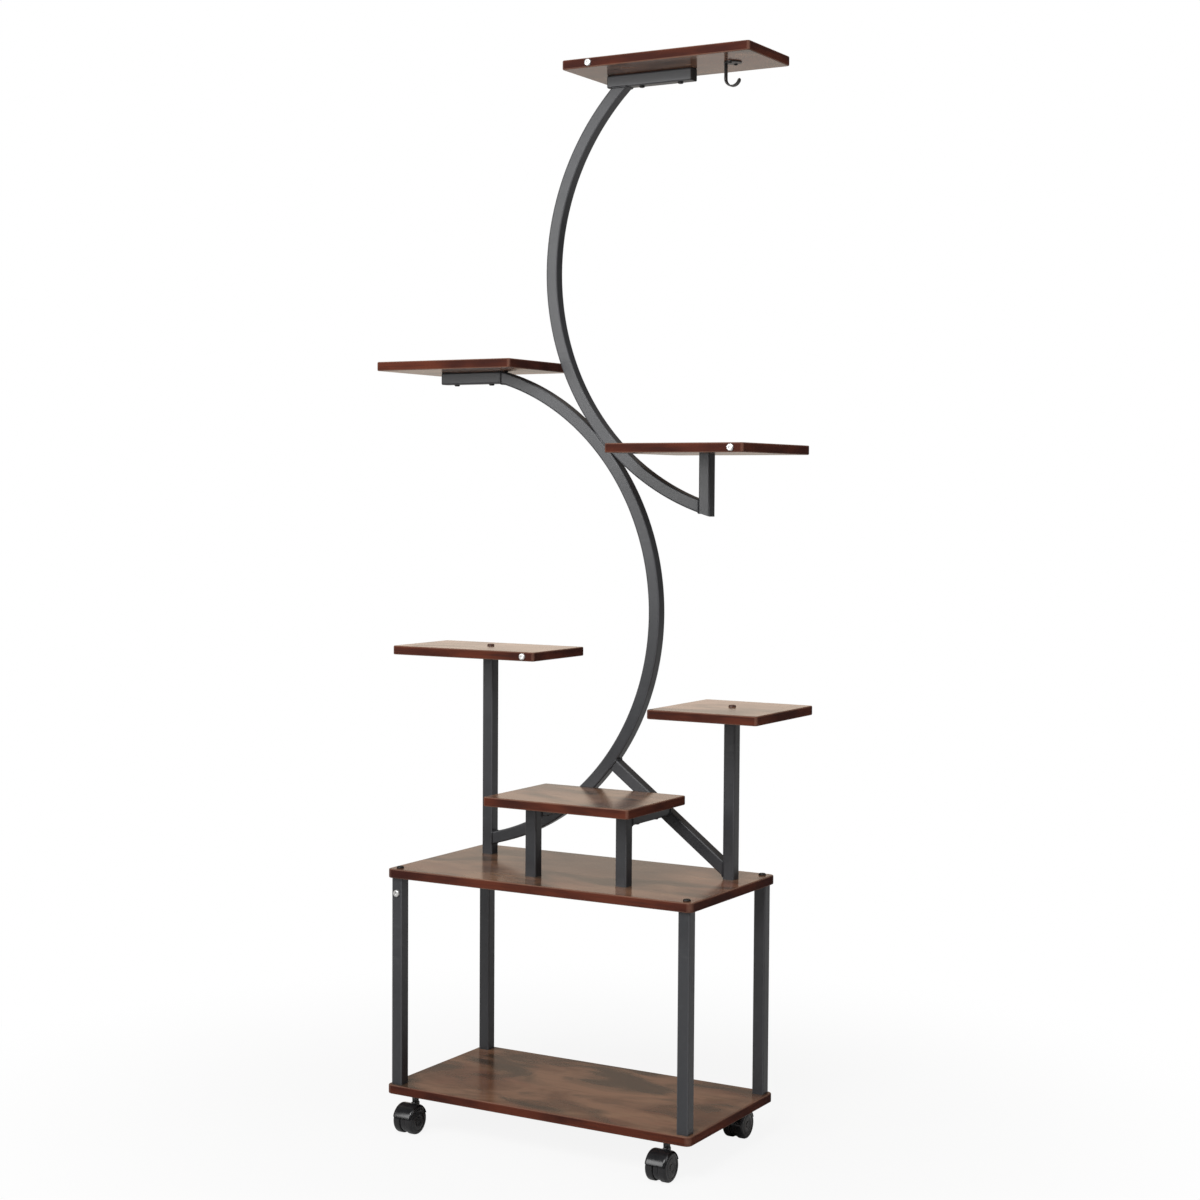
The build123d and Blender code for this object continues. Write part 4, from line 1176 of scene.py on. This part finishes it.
def soft_lamp(name, place, aim, size, power):
    """Square area lamp that looks at a point."""
    data = bpy.data.lights.new(name, "AREA")
    data.shape = "SQUARE"
    data.size = size
    data.energy = power
    lamp = bpy.data.objects.new(name, data)
    bpy.context.scene.collection.objects.link(lamp)
    away = np.array(place, float) - np.array(aim, float)
    away /= np.linalg.norm(away)
    side = np.cross((0, 0, 1.0), away)
    side /= np.linalg.norm(side)
    matrix = np.eye(4)
    matrix[:3] = np.column_stack([side, np.cross(away, side), away, place])
    lamp.matrix_world = Matrix(matrix.tolist())


studio_world()
soft_lamp("lamp_front", (0.5, -2.2, 2.7), (0, 0, 1.5), 1.3, 72)
soft_lamp("lamp_left", (-1.30, -2.6, 1.60), (0, 0, 1.50), 1.5, 42)
soft_lamp("lamp_right", (2.6, -0.2, 2.5), (0, 0, 1.2), 1.6, 18)
print("world and lamps ready")

# %% [markdown]
# ## Floor
# The floor has to vanish into white and still hold the stand's shadow. To the camera it is
# mostly a surface that glows at strength 1, with a share of plain lit paint that carries the
# shadow. That share fades out with the distance from the stand, so no horizon shows. Every
# diffuse ray meets the plain paint, and the boards' undersides mirror a part of the white that
# lies behind the stand.

# %% Floor
FLOOR_HALF = 8.0
SHADOW_SHARE = 0.11
MIRRORED_SHARE = 0.4
FLOOR_PAINT = {"Roughness": 0.9, "Specular IOR Level": 0.0, "Base Color": (0.66, 0.66, 0.66, 1)}


def white_floor():
    """Mix Shader factor: 1 for diffuse rays, else a share that fades with the distance."""
    signs = np.array([(-1, -1, 0), (1, -1, 0), (1, 1, 0), (-1, 1, 0)])
    mesh = bpy.data.meshes.new("floor")
    mesh.from_pydata((FLOOR_HALF * signs).tolist(), [], [(0, 1, 2, 3)])
    floor = bpy.data.objects.new("floor", mesh)
    bpy.context.scene.collection.objects.link(floor)
    floor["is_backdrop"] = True
    f = Finish("white_floor", FLOOR_PAINT)
    distance = f.add("ShaderNodeVectorMath", {"operation": "LENGTH"}, {0: f.place()}, output=0)
    behind = f.add("ShaderNodeSeparateXYZ", values={0: f.place()}, output=1).between(0.0, 2.0)
    seen = f.add("ShaderNodeLightPath", output=0)
    glossy = f.add("ShaderNodeLightPath", output=3)
    share = SHADOW_SHARE * (1 - distance.between(0.35, 1.3))
    factor = (1 - seen.larger(MIRRORED_SHARE * glossy * behind)).larger(share)
    glow = f.add("ShaderNodeEmission", values={"Color": (1, 1, 1, 1), "Strength": 1.0})
    mixed = f.add("ShaderNodeMixShader", values={0: factor, 1: glow, 2: f.shader})
    f.feed(f.surface, {0: mixed})
    dress(floor, f)


white_floor()
print("floor ready")

# %% [markdown]
# ## Camera
# The camera's place and angles were solved from the photograph: known points of the stand,
# such as board corners and tube ends, were matched to where they show. It stands to the right
# of the front, at the height of the stand's middle, and looks very slightly down.

# %% Camera
def photo_camera():
    """Yaw, then pitch, then roll about the view; a square frame 36 mm wide."""
    data = bpy.data.cameras.new("camera")
    data.lens = 63.82
    data.sensor_width = 36.0
    data.clip_end = 50.0
    camera = bpy.data.objects.new("camera", data)
    bpy.context.scene.collection.objects.link(camera)
    yaw, pitch, roll = 0.5285, 0.0505, 0.0064
    level = math.cos(pitch)
    forward = np.array([-math.sin(yaw) * level, math.cos(yaw) * level, -math.sin(pitch)])
    right = np.array([math.cos(yaw), math.sin(yaw), 0.0])
    up = np.cross(right, forward)
    matrix = np.eye(4)
    matrix[:3, 0] = right * math.cos(roll) + up * math.sin(roll)
    matrix[:3, 1] = up * math.cos(roll) - right * math.sin(roll)
    matrix[:3, 2] = -forward
    matrix[:3, 3] = (1.77070, -2.93991, 1.04075)
    camera.matrix_world = Matrix(matrix.tolist())
    bpy.context.scene.camera = camera
    return camera


camera = photo_camera()
print("camera at", [round(v, 3) for v in camera.matrix_world.translation])

# %% [markdown]
# ## Last steps
# Colours are shown as they are, without a film look. The size of the finished object is
# measured over all shown pieces, the floor left out.

# %% Finish
bpy.context.scene.view_settings.view_transform = "Standard"
low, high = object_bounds()
